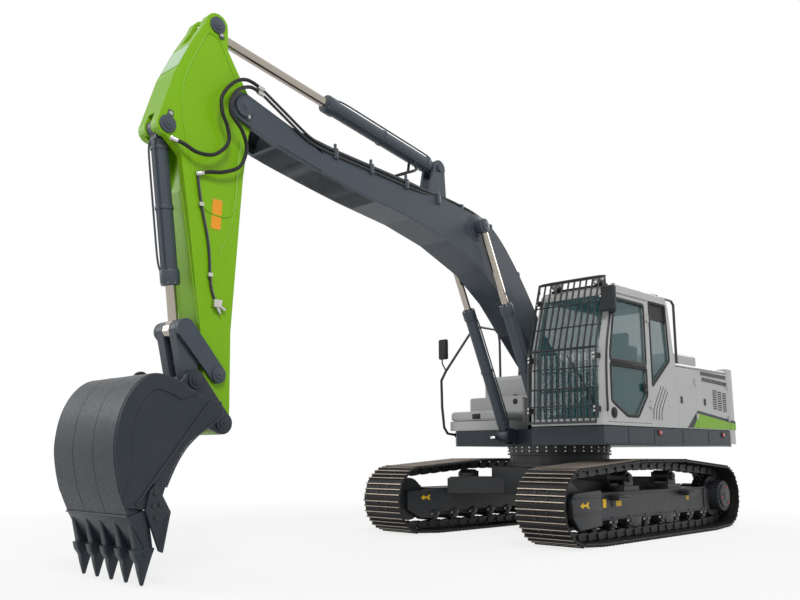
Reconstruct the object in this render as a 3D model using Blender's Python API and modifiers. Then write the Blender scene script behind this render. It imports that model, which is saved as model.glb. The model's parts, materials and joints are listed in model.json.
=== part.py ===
"""Crawler excavator of the 21.5 t class, built as separate pieces at real size.

Metres, +Z up, -Y forward, +X to the machine's left (the cab's side).  The origin lies on the ground in the middle
of the machine's box.  Lengths along the machine are given from the swing centre, which is an empty that carries
every piece.  The boom, arm and cylinders each have an empty on their pin: in it the piece points along -Y, and its
outline is a list of (distance from the pin, height above the pin line).
"""

import math

import bmesh
import bpy
from mathutils import Matrix, Vector

# ---- driving dimensions -------------------------------------------------------------------------------------
SEAT = 0.0003  # gap between pieces that touch
RUNNING = 0.0005  # gap in a bearing
CLEAR = 0.005  # gap between pieces that move past each other

FRONT_REACH = 6.50  # swing centre to the bucket's back, at rest
TAIL_RADIUS = 2.85  # swing centre to the counterweight's back

# undercarriage
TRACK_GAUGE = 2.30
SHOE_WIDTH = 0.60
WHEELBASE = 3.49
TRACK_HEIGHT = 0.905
IDLER_HEIGHT = 0.42
BELT_RADIUS = 0.40  # wheel centre to the grouser tips
GROUND_LENGTH = 2.76
CARRIER_Y = (-0.485, 0.585)
CARRIER_RADIUS = 0.07
SHOES = 47
GROUSER = 0.022  # grouser height above its plate
PLATE = 0.014  # shoe plate
LINK_HEIGHT = 0.105
RIM_HALF = 0.09  # half width of the wheels' rims
DRUM_RADIUS, DRUM_REACH = 0.19, 0.25
ARC_STEPS = 12
ROLLERS = 8
ROLLER_RADIUS = 0.08
FRAME_HALF = 0.15  # track frame, half width
FRAME_WALL = 0.03
FRAME_TOP, FRAME_UNDER, FRAME_LIP = 0.54, 0.33, 0.25
FRAME_FRONT, FRAME_REAR = -1.28, 1.40
BODY_TOP = 0.985  # car body ring, top
BODY_UNDER = 0.46
RING_RADIUS = 0.655

# upper structure
DECK_BOTTOM, DECK_TOP = 1.065, 1.275
HOUSE_HALF = 1.36
CAB_INNER = 0.395
DECK_LEFT_FRONT, DECK_RIGHT_FRONT = -1.16, -0.60
HOUSE_FRONT, WEIGHT_FRONT = 0.665, 2.20
HOUSE_TOP = 2.105
PANEL = 0.04
WEIGHT_BOTTOM, WEIGHT_TOP = 1.10, 2.14
TOOL_BOX_TOP, STEP_TOP, TANK_TOP = 1.53, 1.74, 2.06
STEP_FRONT, TANK_FRONT = -0.17, 0.20
WELL_RIGHT = -0.42  # right edge of the well that the boom works in

# cab
CAB_TOP = 2.92
CAB_WALL = 0.05
CAB_FRONT_LOW, CAB_BEND_Y, CAB_BEND_Z, CAB_FRONT_HIGH = -1.16, -1.11, 2.15, -0.88
CAB_REAR_LOW, CAB_REAR_HIGH = 0.65, 0.457
GLASS = 0.006
DOOR_SILL, DOOR_HEAD, DOOR_REAR = 1.32, 2.82, -0.05
DOOR_BAR_LOW, DOOR_BAR_HIGH = 1.98, 2.03
GUARD_GAP = 0.09  # cab front to the guard's bars
GUARD_SLOTS = 11

# boom, arm and bucket
BOOM_FOOT = (-0.06, 1.75)
BOOM_LENGTH = 5.70
BOOM_ANGLE = math.radians(24.24)
BOOM_HALF = 0.20
BOOM_CYLINDER_BASE = (-0.75, 1.20)
BOOM_CYLINDER_X = 0.29
BOOM_CYLINDER_PIN = (2.441, 0.941)
ARM_CYLINDER_BASE = (3.183, 1.297)
ARM_LENGTH = 2.873
ARM_ANGLE = math.radians(87.99)
ARM_HALF = 0.155
ARM_CYLINDER_PIN = (-0.698, 0.316)
BUCKET_CYLINDER_BASE = (0.397, 0.727)
ROCKER_PIVOT = (0.405, 0.070)  # back from the bucket pin, and up
ROCKER_PIN = (0.759, 0.393)
BUCKET_LINK_PIN = (-0.289, 0.345)  # from the bucket pin, along the ground and up
BUCKET_HALF = 0.50
BUCKET_PLATE = 0.03
TEETH = 5

# pins and cylinders: barrel radius, rod radius, eye radius, eye half width
PIN_RADIUS = 0.040
PIN_SIDES = 12
CYLINDERS = {
    "boom": (0.070, 0.043, 0.085, 0.045),
    "arm": (0.085, 0.052, 0.090, 0.055),
    "bucket": (0.072, 0.045, 0.085, 0.050),
}

# ---- materials: colour, roughness, metallic -------------------------------------------------------------------
FINISHES = {
    "dark_paint": ((0.035, 0.050, 0.065), 0.40, 0.0),
    "lime_paint": ((0.250, 0.560, 0.010), 0.35, 0.0),
    "grey_paint": ((0.520, 0.530, 0.520), 0.35, 0.0),
    "navy_paint": ((0.020, 0.030, 0.045), 0.45, 0.0),
    "track_steel": ((0.030, 0.024, 0.020), 0.60, 0.8),
    "black_steel": ((0.010, 0.012, 0.014), 0.55, 0.5),
    "chrome": ((0.700, 0.650, 0.580), 0.15, 1.0),
    "glass": ((0.080, 0.200, 0.200), 0.05, 0.0),
    "rubber": ((0.008, 0.008, 0.009), 0.60, 0.0),
    "trim": ((0.020, 0.020, 0.022), 0.60, 0.0),
    "iron": ((0.060, 0.060, 0.060), 0.60, 0.6),
}


# ---- scene and helpers ------------------------------------------------------------------------------------------
def clear_scene():
    for old in list(bpy.data.objects):
        bpy.data.objects.remove(old, do_unlink=True)


def new_collection(name):
    collection = bpy.data.collections.new(name)
    bpy.context.scene.collection.children.link(collection)
    return collection


clear_scene()
PARTS = new_collection("crawler_excavator")
CUTTERS = new_collection("cutters")


def material(name):
    found = bpy.data.materials.get(name)
    if found:
        return found
    colour, roughness, metallic = FINISHES[name]
    made = bpy.data.materials.new(name)
    made.use_nodes = True
    shader = made.node_tree.nodes["Principled BSDF"]
    shader.inputs["Base Color"].default_value = (*colour, 1.0)
    shader.inputs["Roughness"].default_value = roughness
    shader.inputs["Metallic"].default_value = metallic
    return made


def empty(name, y, z, parent, x=0.0, turn=0.0):
    """An empty at a pin, turned about X, that carries a body's pieces."""
    made = bpy.data.objects.new(name, None)
    PARTS.objects.link(made)
    made.location = (x, y, z)
    made.rotation_euler = (turn, 0.0, 0.0)
    made.parent = parent
    return made


def add_mesh(name, bm, frame, location=(0, 0, 0), rotation=None):
    mesh = bpy.data.meshes.new(name)
    bmesh.ops.recalc_face_normals(bm, faces=bm.faces[:])
    bm.to_mesh(mesh)
    bm.free()
    made = bpy.data.objects.new(name, mesh)
    PARTS.objects.link(made)
    made.parent = frame
    made.location = location
    if rotation is not None:
        made.rotation_euler = rotation
    return made


def box(name, low, high, frame, turn=0.0):
    """A box between two corners; turn tips it about X through its own middle."""
    bm = bmesh.new()
    bmesh.ops.create_cube(bm, size=1.0)
    size = [b - a for a, b in zip(low, high)]
    bmesh.ops.scale(bm, vec=size, verts=bm.verts[:])
    middle = [(a + b) / 2 for a, b in zip(low, high)]
    return add_mesh(name, bm, frame, middle, (turn, 0.0, 0.0))


def rod(name, radius, start, end, frame, sides=PIN_SIDES, end_radius=None):
    """A cylinder, or a cone, from start to end."""
    start, end = Vector(start), Vector(end)
    bm = bmesh.new()
    bmesh.ops.create_cone(
        bm,
        cap_ends=True,
        segments=sides,
        radius1=radius,
        radius2=radius if end_radius is None else end_radius,
        depth=(end - start).length,
    )
    turn = (end - start).to_track_quat("Z", "Y").to_euler()
    return add_mesh(name, bm, frame, (start + end) / 2, turn)


def cross_rod(name, radius, x_low, x_high, y, z, frame, sides=PIN_SIDES):
    return rod(name, radius, (x_low, y, z), (x_high, y, z), frame, sides)


def meshed(curve_object, frame):
    """The curve object as a welded mesh object, carried by frame."""
    bpy.context.view_layer.update()
    view = bpy.context.evaluated_depsgraph_get()
    mesh = bpy.data.meshes.new_from_object(curve_object.evaluated_get(view))
    bm = bmesh.new()
    bm.from_mesh(mesh)
    bmesh.ops.remove_doubles(bm, verts=bm.verts[:], dist=0.00001)
    bmesh.ops.recalc_face_normals(bm, faces=bm.faces[:])
    bm.to_mesh(mesh)
    bm.free()
    name = curve_object.name
    curve_object.name = name + "_curve"
    made = bpy.data.objects.new(name, mesh)
    made.matrix_basis = curve_object.matrix_basis
    made.parent = frame
    PARTS.objects.link(made)
    bpy.data.objects.remove(curve_object, do_unlink=True)
    return made


def outline_object(name, rings, thickness, location, rotation, frame):
    """A flat outline, with any holes after it, extruded to a thickness."""
    curve = bpy.data.curves.new(name, "CURVE")
    curve.dimensions = "2D"
    curve.fill_mode = "BOTH"
    curve.extrude = thickness / 2
    for ring in rings:
        spline = curve.splines.new("POLY")
        spline.points.add(len(ring) - 1)
        for point, (a, b) in zip(spline.points, ring):
            point.co = (a, b, 0.0, 1.0)
        spline.use_cyclic_u = True
    made = bpy.data.objects.new(name, curve)
    PARTS.objects.link(made)
    made.location = location
    made.rotation_euler = rotation
    return meshed(made, frame)


def plate(name, outline, x_low, x_high, frame, holes=()):
    """A plate standing fore and aft: outline in (y, z)."""
    rotation = (math.pi / 2, 0.0, math.pi / 2)
    middle = ((x_low + x_high) / 2, 0.0, 0.0)
    return outline_object(name, (outline, *holes), x_high - x_low, middle, rotation, frame)


def slab(name, outline, z_low, z_high, frame):
    """A level slab: outline in (x, y)."""
    middle = (0.0, 0.0, (z_low + z_high) / 2)
    return outline_object(name, (outline,), z_high - z_low, middle, (0.0, 0.0, 0.0), frame)


def beam(name, outline, y_low, y_high, frame):
    """A beam running fore and aft: outline in (x, z)."""
    middle = (0.0, (y_low + y_high) / 2, 0.0)
    return outline_object(name, (outline,), y_high - y_low, middle, (math.pi / 2, 0.0, 0.0), frame)


def tube(name, points, radius, frame, resolution=2):
    """A round tube along a line of points."""
    curve = bpy.data.curves.new(name, "CURVE")
    curve.dimensions = "3D"
    curve.bevel_depth = radius
    curve.bevel_resolution = resolution
    curve.use_fill_caps = True
    spline = curve.splines.new("POLY")
    spline.points.add(len(points) - 1)
    for point, place in zip(spline.points, points):
        point.co = (*place, 1.0)
    made = bpy.data.objects.new(name, curve)
    PARTS.objects.link(made)
    return meshed(made, frame)


def turned(name, profile, frame, location, rotation, steps):
    """A turned piece: (radius, place along the axis) pairs, closed on the axis at both ends."""
    profile = [(0.0, profile[0][1]), *profile, (0.0, profile[-1][1])]
    mesh = bpy.data.meshes.new(name)
    mesh.from_pydata([(r, 0.0, z) for r, z in profile], [(k, k + 1) for k in range(len(profile) - 1)], [])
    made = bpy.data.objects.new(name, mesh)
    PARTS.objects.link(made)
    made.location = location
    made.rotation_euler = rotation
    screw = made.modifiers.new("turn", "SCREW")
    screw.axis = "Z"
    screw.steps = screw.render_steps = steps
    screw.use_merge_vertices = True
    screw.merge_threshold = 0.00001
    return meshed(made, frame)


def turned_across(name, profile, x, y, z, frame, steps=PIN_SIDES):
    """A turned piece whose axis runs across the machine; places along it are measured from x."""
    return turned(name, profile, frame, (x, y, z), (0.0, math.pi / 2, 0.0), steps)


def smooth_line(route, spacing):
    """Points at an even spacing along a smooth curve through the route's own points."""
    ends = [route[0], *route, route[-1]]
    fine = []
    for before, a, b, after in zip(ends, ends[1:], ends[2:], ends[3:]):
        before, a, b, after = (Vector(p) for p in (before, a, b, after))
        for step in range(16):
            t = step / 16
            fine.append(
                0.5 * (2 * a + (b - before) * t + (2 * before - 5 * a + 4 * b - after) * t**2
                       + (3 * a - before - 3 * b + after) * t**3)
            )
    fine.append(Vector(route[-1]))
    length = sum((b - a).length for a, b in zip(fine, fine[1:]))
    count = max(4, round(length / spacing))
    points, run, target = [tuple(fine[0])], 0.0, length / count
    for a, b in zip(fine, fine[1:]):
        step = (b - a).length
        while run + step >= target and len(points) < count:
            points.append(tuple(a + (b - a) * ((target - run) / step)))
            target += length / count
        run += step
    points.append(tuple(fine[-1]))
    return points


def arc(y, z, radius, start, end, steps=8):
    """Points on an arc, in degrees, anticlockwise from the first axis."""
    turns = [math.radians(start + (end - start) * k / steps) for k in range(steps + 1)]
    return [(y + radius * math.cos(t), z + radius * math.sin(t)) for t in turns]


def rectangle(y_low, z_low, y_high, z_high):
    """Four corners of an upright rectangle, for an outline or an opening."""
    return [(y_low, z_low), (y_high, z_low), (y_high, z_high), (y_low, z_high)]


def ring(y, z, radius, sides=PIN_SIDES):
    return arc(y, z, radius, 0, 360 - 360 / sides, sides - 1)


def forward(points):
    """Turns (distance, height) pairs into (y, z) pairs of a body that points along -Y."""
    return [(-along, up) for along, up in points]


def hide(piece):
    for holder in list(piece.users_collection):
        holder.objects.unlink(piece)
    CUTTERS.objects.link(piece)
    piece.hide_render = True
    piece.display_type = "WIRE"


def boolean(base, tools, operation):
    for tool in tools:
        hide(tool)
        modifier = base.modifiers.new(operation.lower(), "BOOLEAN")
        modifier.operation = operation
        modifier.solver = "EXACT"
        modifier.object = tool
    return base


def soften(piece, width, segments=1):
    bevel = piece.modifiers.new("edges", "BEVEL")
    bevel.width = width
    bevel.segments = segments
    bevel.limit_method = "ANGLE"
    bevel.angle_limit = math.radians(40)
    return piece


def node(name, finish, pieces, cutters=()):
    """Joins the pieces into one body, cuts it and gives it its name and finish."""
    base = pieces[0]
    boolean(base, pieces[1:], "UNION")
    boolean(base, cutters, "DIFFERENCE")
    base.name = name
    base.data.name = name
    base.data.materials.clear()
    base.data.materials.append(material(finish))
    base.data.shade_smooth()
    base.data.set_sharp_from_angle(angle=math.radians(35))
    return base


def pin_bore(clearance=RUNNING):
    """Radius of a bore whose flats clear the pin."""
    return (PIN_RADIUS + clearance) / math.cos(math.pi / PIN_SIDES)


# ---- frames ------------------------------------------------------------------------------------------------------
SWING_Y = (FRONT_REACH - TAIL_RADIUS) / 2
GROUND = empty("swing_centre", SWING_Y, 0.0, None)
BOOM = empty("boom_foot_pin", *BOOM_FOOT, GROUND, turn=-BOOM_ANGLE)
ARM = empty("arm_pin", -BOOM_LENGTH, 0.0, BOOM, turn=BOOM_ANGLE + ARM_ANGLE)
BUCKET = empty("bucket_pin", -ARM_LENGTH, 0.0, ARM, turn=-ARM_ANGLE)


def from_pin(origin, angle, place):
    """A (distance, height) place on a member, in (y, z) from the swing centre; angle is its tilt above level."""
    along, up = place
    return (
        origin[0] - along * math.cos(angle) + up * math.sin(angle),
        origin[1] + along * math.sin(angle) + up * math.cos(angle),
    )


ARM_PIN = from_pin(BOOM_FOOT, BOOM_ANGLE, (BOOM_LENGTH, 0.0))
BUCKET_PIN = from_pin(ARM_PIN, -ARM_ANGLE, (ARM_LENGTH, 0.0))
LINK_PIN = (BUCKET_PIN[0] + BUCKET_LINK_PIN[0], BUCKET_PIN[1] + BUCKET_LINK_PIN[1])
ROCKER_FOOT = from_pin(ARM_PIN, -ARM_ANGLE, (ARM_LENGTH - ROCKER_PIVOT[0], ROCKER_PIVOT[1]))
ROCKER_TOP = from_pin(ARM_PIN, -ARM_ANGLE, (ARM_LENGTH - ROCKER_PIN[0], ROCKER_PIN[1] + 0.02))


# ---- undercarriage -----------------------------------------------------------------------------------------------
def belt_line(depth, steps=ARC_STEPS):
    """The track's closed line at a depth inside the grouser tips, in (y, z)."""
    half, radius = WHEELBASE / 2, BELT_RADIUS - depth
    front = [(-half - y, IDLER_HEIGHT + z) for y, z in arc(0, 0, radius, -87, 86, steps)]
    rear = [(half + y, IDLER_HEIGHT + z) for y, z in arc(0, 0, radius, 86, -87, steps)]
    top = [(CARRIER_Y[0], TRACK_HEIGHT - depth), (CARRIER_Y[1], TRACK_HEIGHT - depth)]
    bottom = [(GROUND_LENGTH / 2, depth), (-GROUND_LENGTH / 2, depth)]
    return front + top + rear + bottom


def along_belt(distance, depth, line):
    """The place at a distance along the tip line, moved in by a depth."""
    run = 0.0
    for a, b in zip(line, line[1:] + line[:1]):
        step = math.dist(a, b)
        if run + step > distance:
            share = (distance - run) / step
            flat = ((b[0] - a[0]) / step, (b[1] - a[1]) / step)
            return (
                a[0] + (b[0] - a[0]) * share + flat[1] * depth,
                a[1] + (b[1] - a[1]) * share - flat[0] * depth,
            )
        run += step
    return line[0]


def shoe_line():
    """The outer line of the track, with a step for each shoe."""
    line = belt_line(0.0, 3 * ARC_STEPS)
    length = sum(math.dist(a, b) for a, b in zip(line, line[1:] + line[:1]))
    pitch = length / SHOES
    points = []
    for shoe in range(SHOES):
        for share, depth in ((0.03, GROUSER), (0.10, 0.0), (0.90, 0.0), (0.97, GROUSER)):
            points.append(along_belt((shoe + share) * pitch, depth, line))
    return points


RAIL_DEPTH = GROUSER + PLATE + LINK_HEIGHT


def track(side, x):
    belt = plate("belt", shoe_line(), x - SHOE_WIDTH / 2, x + SHOE_WIDTH / 2, GROUND, [belt_line(RAIL_DEPTH)])
    node(f"track_{side}", "track_steel", [belt])


RAIL_RADIUS = (BELT_RADIUS - RAIL_DEPTH) * math.cos(math.radians(173 / ARC_STEPS / 2)) - RUNNING


def idler(side, x):
    """The front wheel: two rims beside a raised flange, on a hub that the yoke holds."""
    reach = FRAME_HALF - FRAME_WALL - SEAT
    half = [(0.08, reach), (0.08, RIM_HALF), (RAIL_RADIUS, RIM_HALF), (RAIL_RADIUS, -RIM_HALF), (0.08, -RIM_HALF), (0.08, -reach)]
    node(f"idler_{side}", "black_steel", [turned_across("wheel", half, x, -WHEELBASE / 2, IDLER_HEIGHT, GROUND, 24)])


def sprocket(side, x, out):
    """The rear wheel and its drive drum, which stands out towards the machine's side."""
    reach = FRAME_HALF - FRAME_WALL - SEAT
    profile = [(DRUM_RADIUS - 0.02, out * DRUM_REACH), (DRUM_RADIUS, out * (DRUM_REACH - 0.02)), (DRUM_RADIUS, out * RIM_HALF),
               (RAIL_RADIUS, out * RIM_HALF), (RAIL_RADIUS, -out * RIM_HALF), (0.12, -out * RIM_HALF), (0.12, -out * reach)]
    node(f"sprocket_{side}", "black_steel", [turned_across("wheel", profile, x, WHEELBASE / 2, IDLER_HEIGHT, GROUND, 24)])


def track_frame(side, x, out):
    half, wall = FRAME_HALF, FRAME_WALL
    section = [
        (x - half, FRAME_LIP), (x - half, FRAME_TOP), (x + half, FRAME_TOP), (x + half, FRAME_LIP),
        (x + half - wall, FRAME_LIP), (x + half - wall, FRAME_UNDER),
        (x - half + wall, FRAME_UNDER), (x - half + wall, FRAME_LIP),
    ]
    pieces = [beam("girder", section, FRAME_FRONT - 0.01, FRAME_REAR, GROUND)]
    yoke = [(-WHEELBASE / 2 - 0.08, 0.30), (-WHEELBASE / 2 - 0.08, 0.51), (FRAME_FRONT, FRAME_TOP - 0.01),
            (FRAME_FRONT, 0.17), (-1.60, 0.19)]
    inner_mount = [(FRAME_REAR - 0.02, FRAME_LIP), (FRAME_REAR - 0.02, FRAME_TOP - 0.01),
                   (WHEELBASE / 2 + 0.14, FRAME_TOP - 0.01), (WHEELBASE / 2 + 0.14, FRAME_LIP + 0.04)]
    outer_cheek = [(FRAME_REAR - 0.02, FRAME_LIP + 0.01), (FRAME_REAR - 0.02, FRAME_TOP - 0.01),
                   (FRAME_REAR + 0.10, FRAME_TOP - 0.03), (FRAME_REAR + 0.10, FRAME_LIP + 0.01)]
    for edge in (-1, 1):
        low, high = sorted((x + edge * (half - wall), x + edge * half))
        pieces.append(plate("yoke", yoke, low, high, GROUND))
        outline = outer_cheek if edge == out else inner_mount
        pieces.append(plate("cheek", outline, low, high, GROUND))
    low, high = sorted((x - out * (half - 0.005), x - out * (half + 0.16)))
    motor = cross_rod("motor", 0.15, low, high, WHEELBASE / 2, IDLER_HEIGHT, GROUND)
    pieces.append(motor)
    roller_z = RAIL_DEPTH + ROLLER_RADIUS + RUNNING
    for k in range(ROLLERS):
        y = (k / (ROLLERS - 1) - 0.5) * (GROUND_LENGTH - 0.12)
        pieces.append(cross_rod("roller", ROLLER_RADIUS, x - half + 0.01, x + half - 0.01, y, roller_z, GROUND, 10))
    carrier_z = TRACK_HEIGHT - RAIL_DEPTH - CARRIER_RADIUS - RUNNING
    for y in CARRIER_Y:
        base = box("saddle", (x - half + 0.01, y - 0.17, FRAME_TOP - 0.01), (x + half - 0.01, y + 0.17, 0.60), GROUND)
        low, high = sorted((x - out * 0.14, x - out * 0.11))
        wall_piece = box("bracket", (low, y - 0.06, 0.59), (high, y + 0.06, carrier_z + 0.05), GROUND)
        low, high = sorted((x - out * 0.12, x + out * 0.10))
        carrier = cross_rod("carrier", CARRIER_RADIUS, low, high, y, carrier_z, GROUND, 10)
        pieces += [base, wall_piece, carrier]
    low, high = sorted((x + out * (half - 0.01), x + out * (SHOE_WIDTH / 2 - 0.03)))
    for y in (-0.90, 0.80):
        pieces.append(box("step", (low, y - 0.11, 0.46), (high, y + 0.11, 0.49), GROUND))
    node(f"track_frame_{side}", "black_steel", pieces)


def car_body():
    inner = TRACK_GAUGE / 2 - FRAME_HALF - SEAT
    pieces = [
        box("centre", (-0.62, -0.64, BODY_UNDER), (0.62, 0.64, 0.80), GROUND),
        rod("ring", 0.64, (0, 0, 0.79), (0, 0, BODY_TOP), GROUND, 32),
    ]
    for x in (-1, 1):
        for y in (-1, 1):
            leg = [(x * 0.30, y * 0.20), (x * inner, y * 0.62), (x * inner, y * 1.08), (x * 0.40, y * 0.62)]
            pieces.append(slab("leg", leg, BODY_UNDER + 0.01, 0.66, GROUND))
    node("car_body", "black_steel", pieces)


# ---- swing frame and counterweight ---------------------------------------------------------------------------------
FOOT_INNER = BOOM_HALF + CLEAR / 10
EYE_HALF = CYLINDERS["boom"][3]


def swing_frame():
    half, front = HOUSE_HALF, DECK_RIGHT_FRONT
    outline = [
        (-half + 0.12, front), (CAB_INNER, front), (CAB_INNER, DECK_LEFT_FRONT), (half, DECK_LEFT_FRONT),
        (half, WEIGHT_FRONT - SEAT), (-half, WEIGHT_FRONT - SEAT), (-half, front + 0.12),
    ]
    pieces = [slab("deck", outline, DECK_BOTTOM, DECK_TOP, GROUND)]
    y, z = BOOM_FOOT
    bracket = [(0.62, DECK_TOP - 0.02), (0.45, 1.45)] + arc(y, z, 0.16, 30, 160, 6) + [(-0.42, DECK_TOP - 0.02)]
    for side in (-1, 1):
        low, high = sorted((side * FOOT_INNER, side * (FOOT_INNER + 0.04)))
        pieces.append(plate("foot_bracket", bracket, low, high, GROUND))
    pieces.append(cross_rod("foot_pin", PIN_RADIUS, -FOOT_INNER - 0.07, FOOT_INNER + 0.07, y, z, GROUND))
    y, z = BOOM_CYLINDER_BASE
    base = [(front + 0.03, DECK_BOTTOM + 0.02), (front + 0.03, DECK_TOP - 0.02), (y + 0.02, z + 0.085)]
    ears = base[2:] + arc(y, z, 0.085, 90, 250, 8) + base[:2]
    for side in (-1, 1):
        middle = side * BOOM_CYLINDER_X
        for edge in (-1, 1):
            low, high = sorted((middle + edge * (EYE_HALF + SEAT), middle + edge * (EYE_HALF + 0.04)))
            pieces.append(plate("cylinder_lug", ears, low, high, GROUND))
        pieces.append(cross_rod("pin", PIN_RADIUS, middle - EYE_HALF - 0.038, middle + EYE_HALF + 0.038, y, z, GROUND))
    node("swing_frame", "navy_paint", pieces)
    node("swing_bearing", "black_steel",
         [rod("race", RING_RADIUS, (0, 0, BODY_TOP + RUNNING), (0, 0, DECK_BOTTOM - SEAT), GROUND, 32)])


def counterweight():
    corner = 0.30
    edge = math.degrees(math.asin((HOUSE_HALF - corner) / (TAIL_RADIUS - corner)))
    tail = [(x, y) for x, y in arc(0, 0, TAIL_RADIUS, 90 - edge, 90 + edge, 12)]
    centre_y = (TAIL_RADIUS - corner) * math.cos(math.radians(edge))
    right = arc(HOUSE_HALF - corner, centre_y, corner, 0, 90 - edge, 5)
    left = [(-x, y) for x, y in reversed(right)]
    outline = [(HOUSE_HALF, WEIGHT_FRONT)] + right + tail[1:-1] + left + [(-HOUSE_HALF, WEIGHT_FRONT)]
    body = slab("weight", outline, WEIGHT_BOTTOM, WEIGHT_TOP, GROUND)
    node("counterweight", "grey_paint", [soften(body, 0.035, 2)])


# ---- house: tanks, hood and doors ----------------------------------------------------------------------------------
def house():
    low, high = DECK_TOP + SEAT, HOUSE_TOP - PANEL - SEAT
    inside = HOUSE_HALF - PANEL - CLEAR
    split = (HOUSE_FRONT + WEIGHT_FRONT) / 2 - 0.23
    pieces = [
        box("front_wall", (-inside, HOUSE_FRONT, low), (inside, HOUSE_FRONT + 0.03, high), GROUND),
        box("rear_wall", (-inside, WEIGHT_FRONT - 0.04, low), (inside, WEIGHT_FRONT - SEAT, high), GROUND),
    ]
    back, edge = WEIGHT_FRONT, 0.002
    outline = rectangle(HOUSE_FRONT + 0.01, low + edge, back - 0.02, high - edge)
    openings = [rectangle(HOUSE_FRONT + 0.06, low + 0.04, split - 0.03, high - 0.05),
                rectangle(split + 0.03, low + 0.04, back - 0.07, high - 0.05)]
    for side in (-1, 1):
        a, b = sorted((side * (inside - 0.05), side * (inside - edge)))
        pieces.append(plate("side_frame", outline, a, b, GROUND, openings))
    node("hood_frame", "black_steel", pieces)

    top = box("top", (-HOUSE_HALF, HOUSE_FRONT, HOUSE_TOP - PANEL), (HOUSE_HALF, WEIGHT_FRONT - SEAT, HOUSE_TOP), GROUND)
    mouth = box("mouth", (-0.80, 1.50, HOUSE_TOP - 0.1), (0.80, 2.08, HOUSE_TOP + 0.1), GROUND)
    node("hood_top", "grey_paint", [soften(top, 0.015)], [mouth])

    # side panels: name, side, front, rear
    door_low, door_high = DECK_TOP + 0.01, HOUSE_TOP - PANEL - CLEAR
    panels = (
        ("left_air_door", 1, HOUSE_FRONT, split - CLEAR / 2),
        ("left_engine_door", 1, split + CLEAR / 2, WEIGHT_FRONT - CLEAR),
        ("right_side_panel", -1, HOUSE_FRONT, split - CLEAR / 2),
        ("right_pump_door", -1, split + CLEAR / 2, WEIGHT_FRONT - CLEAR),
    )
    for name, side, front, rear in panels:
        hinge = empty(name + "_hinge", rear, 0.0, GROUND, x=side * (HOUSE_HALF + 0.012))
        a, b = sorted((-side * 0.012, -side * (0.012 + PANEL + CLEAR - SEAT)))
        skin = box("skin", (a, front - rear, door_low), (b, 0.0, door_high), hinge)
        knuckles = []
        if name != "right_side_panel":
            knuckles = [
                rod("knuckle", 0.016, (0, -0.022, z), (0, -0.022, z + 0.08), hinge, 8)
                for z in (door_low + 0.12, door_high - 0.20)
            ]
        node(name, "grey_paint", [soften(skin, 0.006), *knuckles])

    hinge = empty("hood_hinge", 1.45, HOUSE_TOP + 0.02, GROUND)
    lid_low = SEAT - 0.02
    lid = box("lid", (-0.95, 0.0, lid_low), (0.95, WEIGHT_FRONT - 0.03 - 1.45, 0.225), hinge)
    hollow = box("hollow", (-0.90, 0.05, lid_low - 0.1), (0.90, WEIGHT_FRONT - 0.08 - 1.45, 0.185), hinge)
    node("engine_hood", "grey_paint", [soften(lid, 0.03, 2)], [hollow])

    node("engine", "iron", [box("block", (-0.55, 1.35, DECK_TOP + SEAT), (0.62, 1.95, 1.98), GROUND)])


def tanks():
    right, inner, low = -HOUSE_HALF, WELL_RIGHT, DECK_TOP + SEAT
    lid_low = 1.40
    base = box("box", (right, DECK_RIGHT_FRONT + 0.01, low), (inner, STEP_FRONT - SEAT, lid_low - SEAT), GROUND)
    bay = box("bay", (right + 0.03, DECK_RIGHT_FRONT + 0.04, low + 0.03), (inner - 0.03, STEP_FRONT - 0.03, 1.6), GROUND)
    node("tool_box", "grey_paint", [base], [bay])
    hinge = empty("tool_lid_hinge", STEP_FRONT - SEAT, TOOL_BOX_TOP, GROUND)
    depth = DECK_RIGHT_FRONT - STEP_FRONT
    lid = box("lid", (right, depth + 0.01, lid_low - TOOL_BOX_TOP), (inner, -CLEAR, 0.0), hinge)
    hollow = box("hollow", (right + 0.04, depth + 0.05, -0.3), (inner - 0.04, -0.04, -0.03), hinge)
    knuckles = [
        rod("knuckle", 0.008, (x, -0.0081, -0.08), (x + 0.08, -0.0081, -0.08), hinge, 8) for x in (-1.25, -0.62)
    ]
    node("tool_box_lid", "grey_paint", [soften(lid, 0.04, 2), *knuckles], [hollow])
    body = box("tank", (right, STEP_FRONT, low), (inner, TANK_FRONT, STEP_TOP), GROUND)
    cap = rod("cap", 0.05, (-0.72, 0.02, STEP_TOP - 0.01), (-0.72, 0.02, STEP_TOP + 0.04), GROUND, 12)
    node("fuel_tank", "grey_paint", [soften(body, 0.03, 2), cap])
    profile = [(TANK_FRONT + SEAT, low), (TANK_FRONT + SEAT, TANK_TOP - 0.06), (TANK_FRONT + 0.06, TANK_TOP),
               (HOUSE_FRONT - SEAT, TANK_TOP), (HOUSE_FRONT - SEAT, low)]
    node("hydraulic_tank", "grey_paint", [plate("tank", profile, right, inner, GROUND)])


# ---- cab ---------------------------------------------------------------------------------------------------------
FRONT_LINE = ((CAB_FRONT_LOW, DECK_TOP + 0.01), (CAB_BEND_Y, CAB_BEND_Z), (CAB_FRONT_HIGH, CAB_TOP - 0.06))


def front_at(z, out=0.0):
    """The cab front's y at a height, moved forward by out."""
    low, bend, high = FRONT_LINE
    a, b = (low, bend) if z < bend[1] else (bend, high)
    return a[0] + (b[0] - a[0]) * (z - a[1]) / (b[1] - a[1]) - out


def front_strip(z_low, z_high, out_back, out_front):
    """A strip that follows the cab's front between two heights, as an outline in (y, z)."""
    heights = [z_low, CAB_BEND_Z, z_high]
    back = [(front_at(z, out_back), z) for z in heights]
    return back + [(front_at(z, out_front), z) for z in reversed(heights)]


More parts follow.
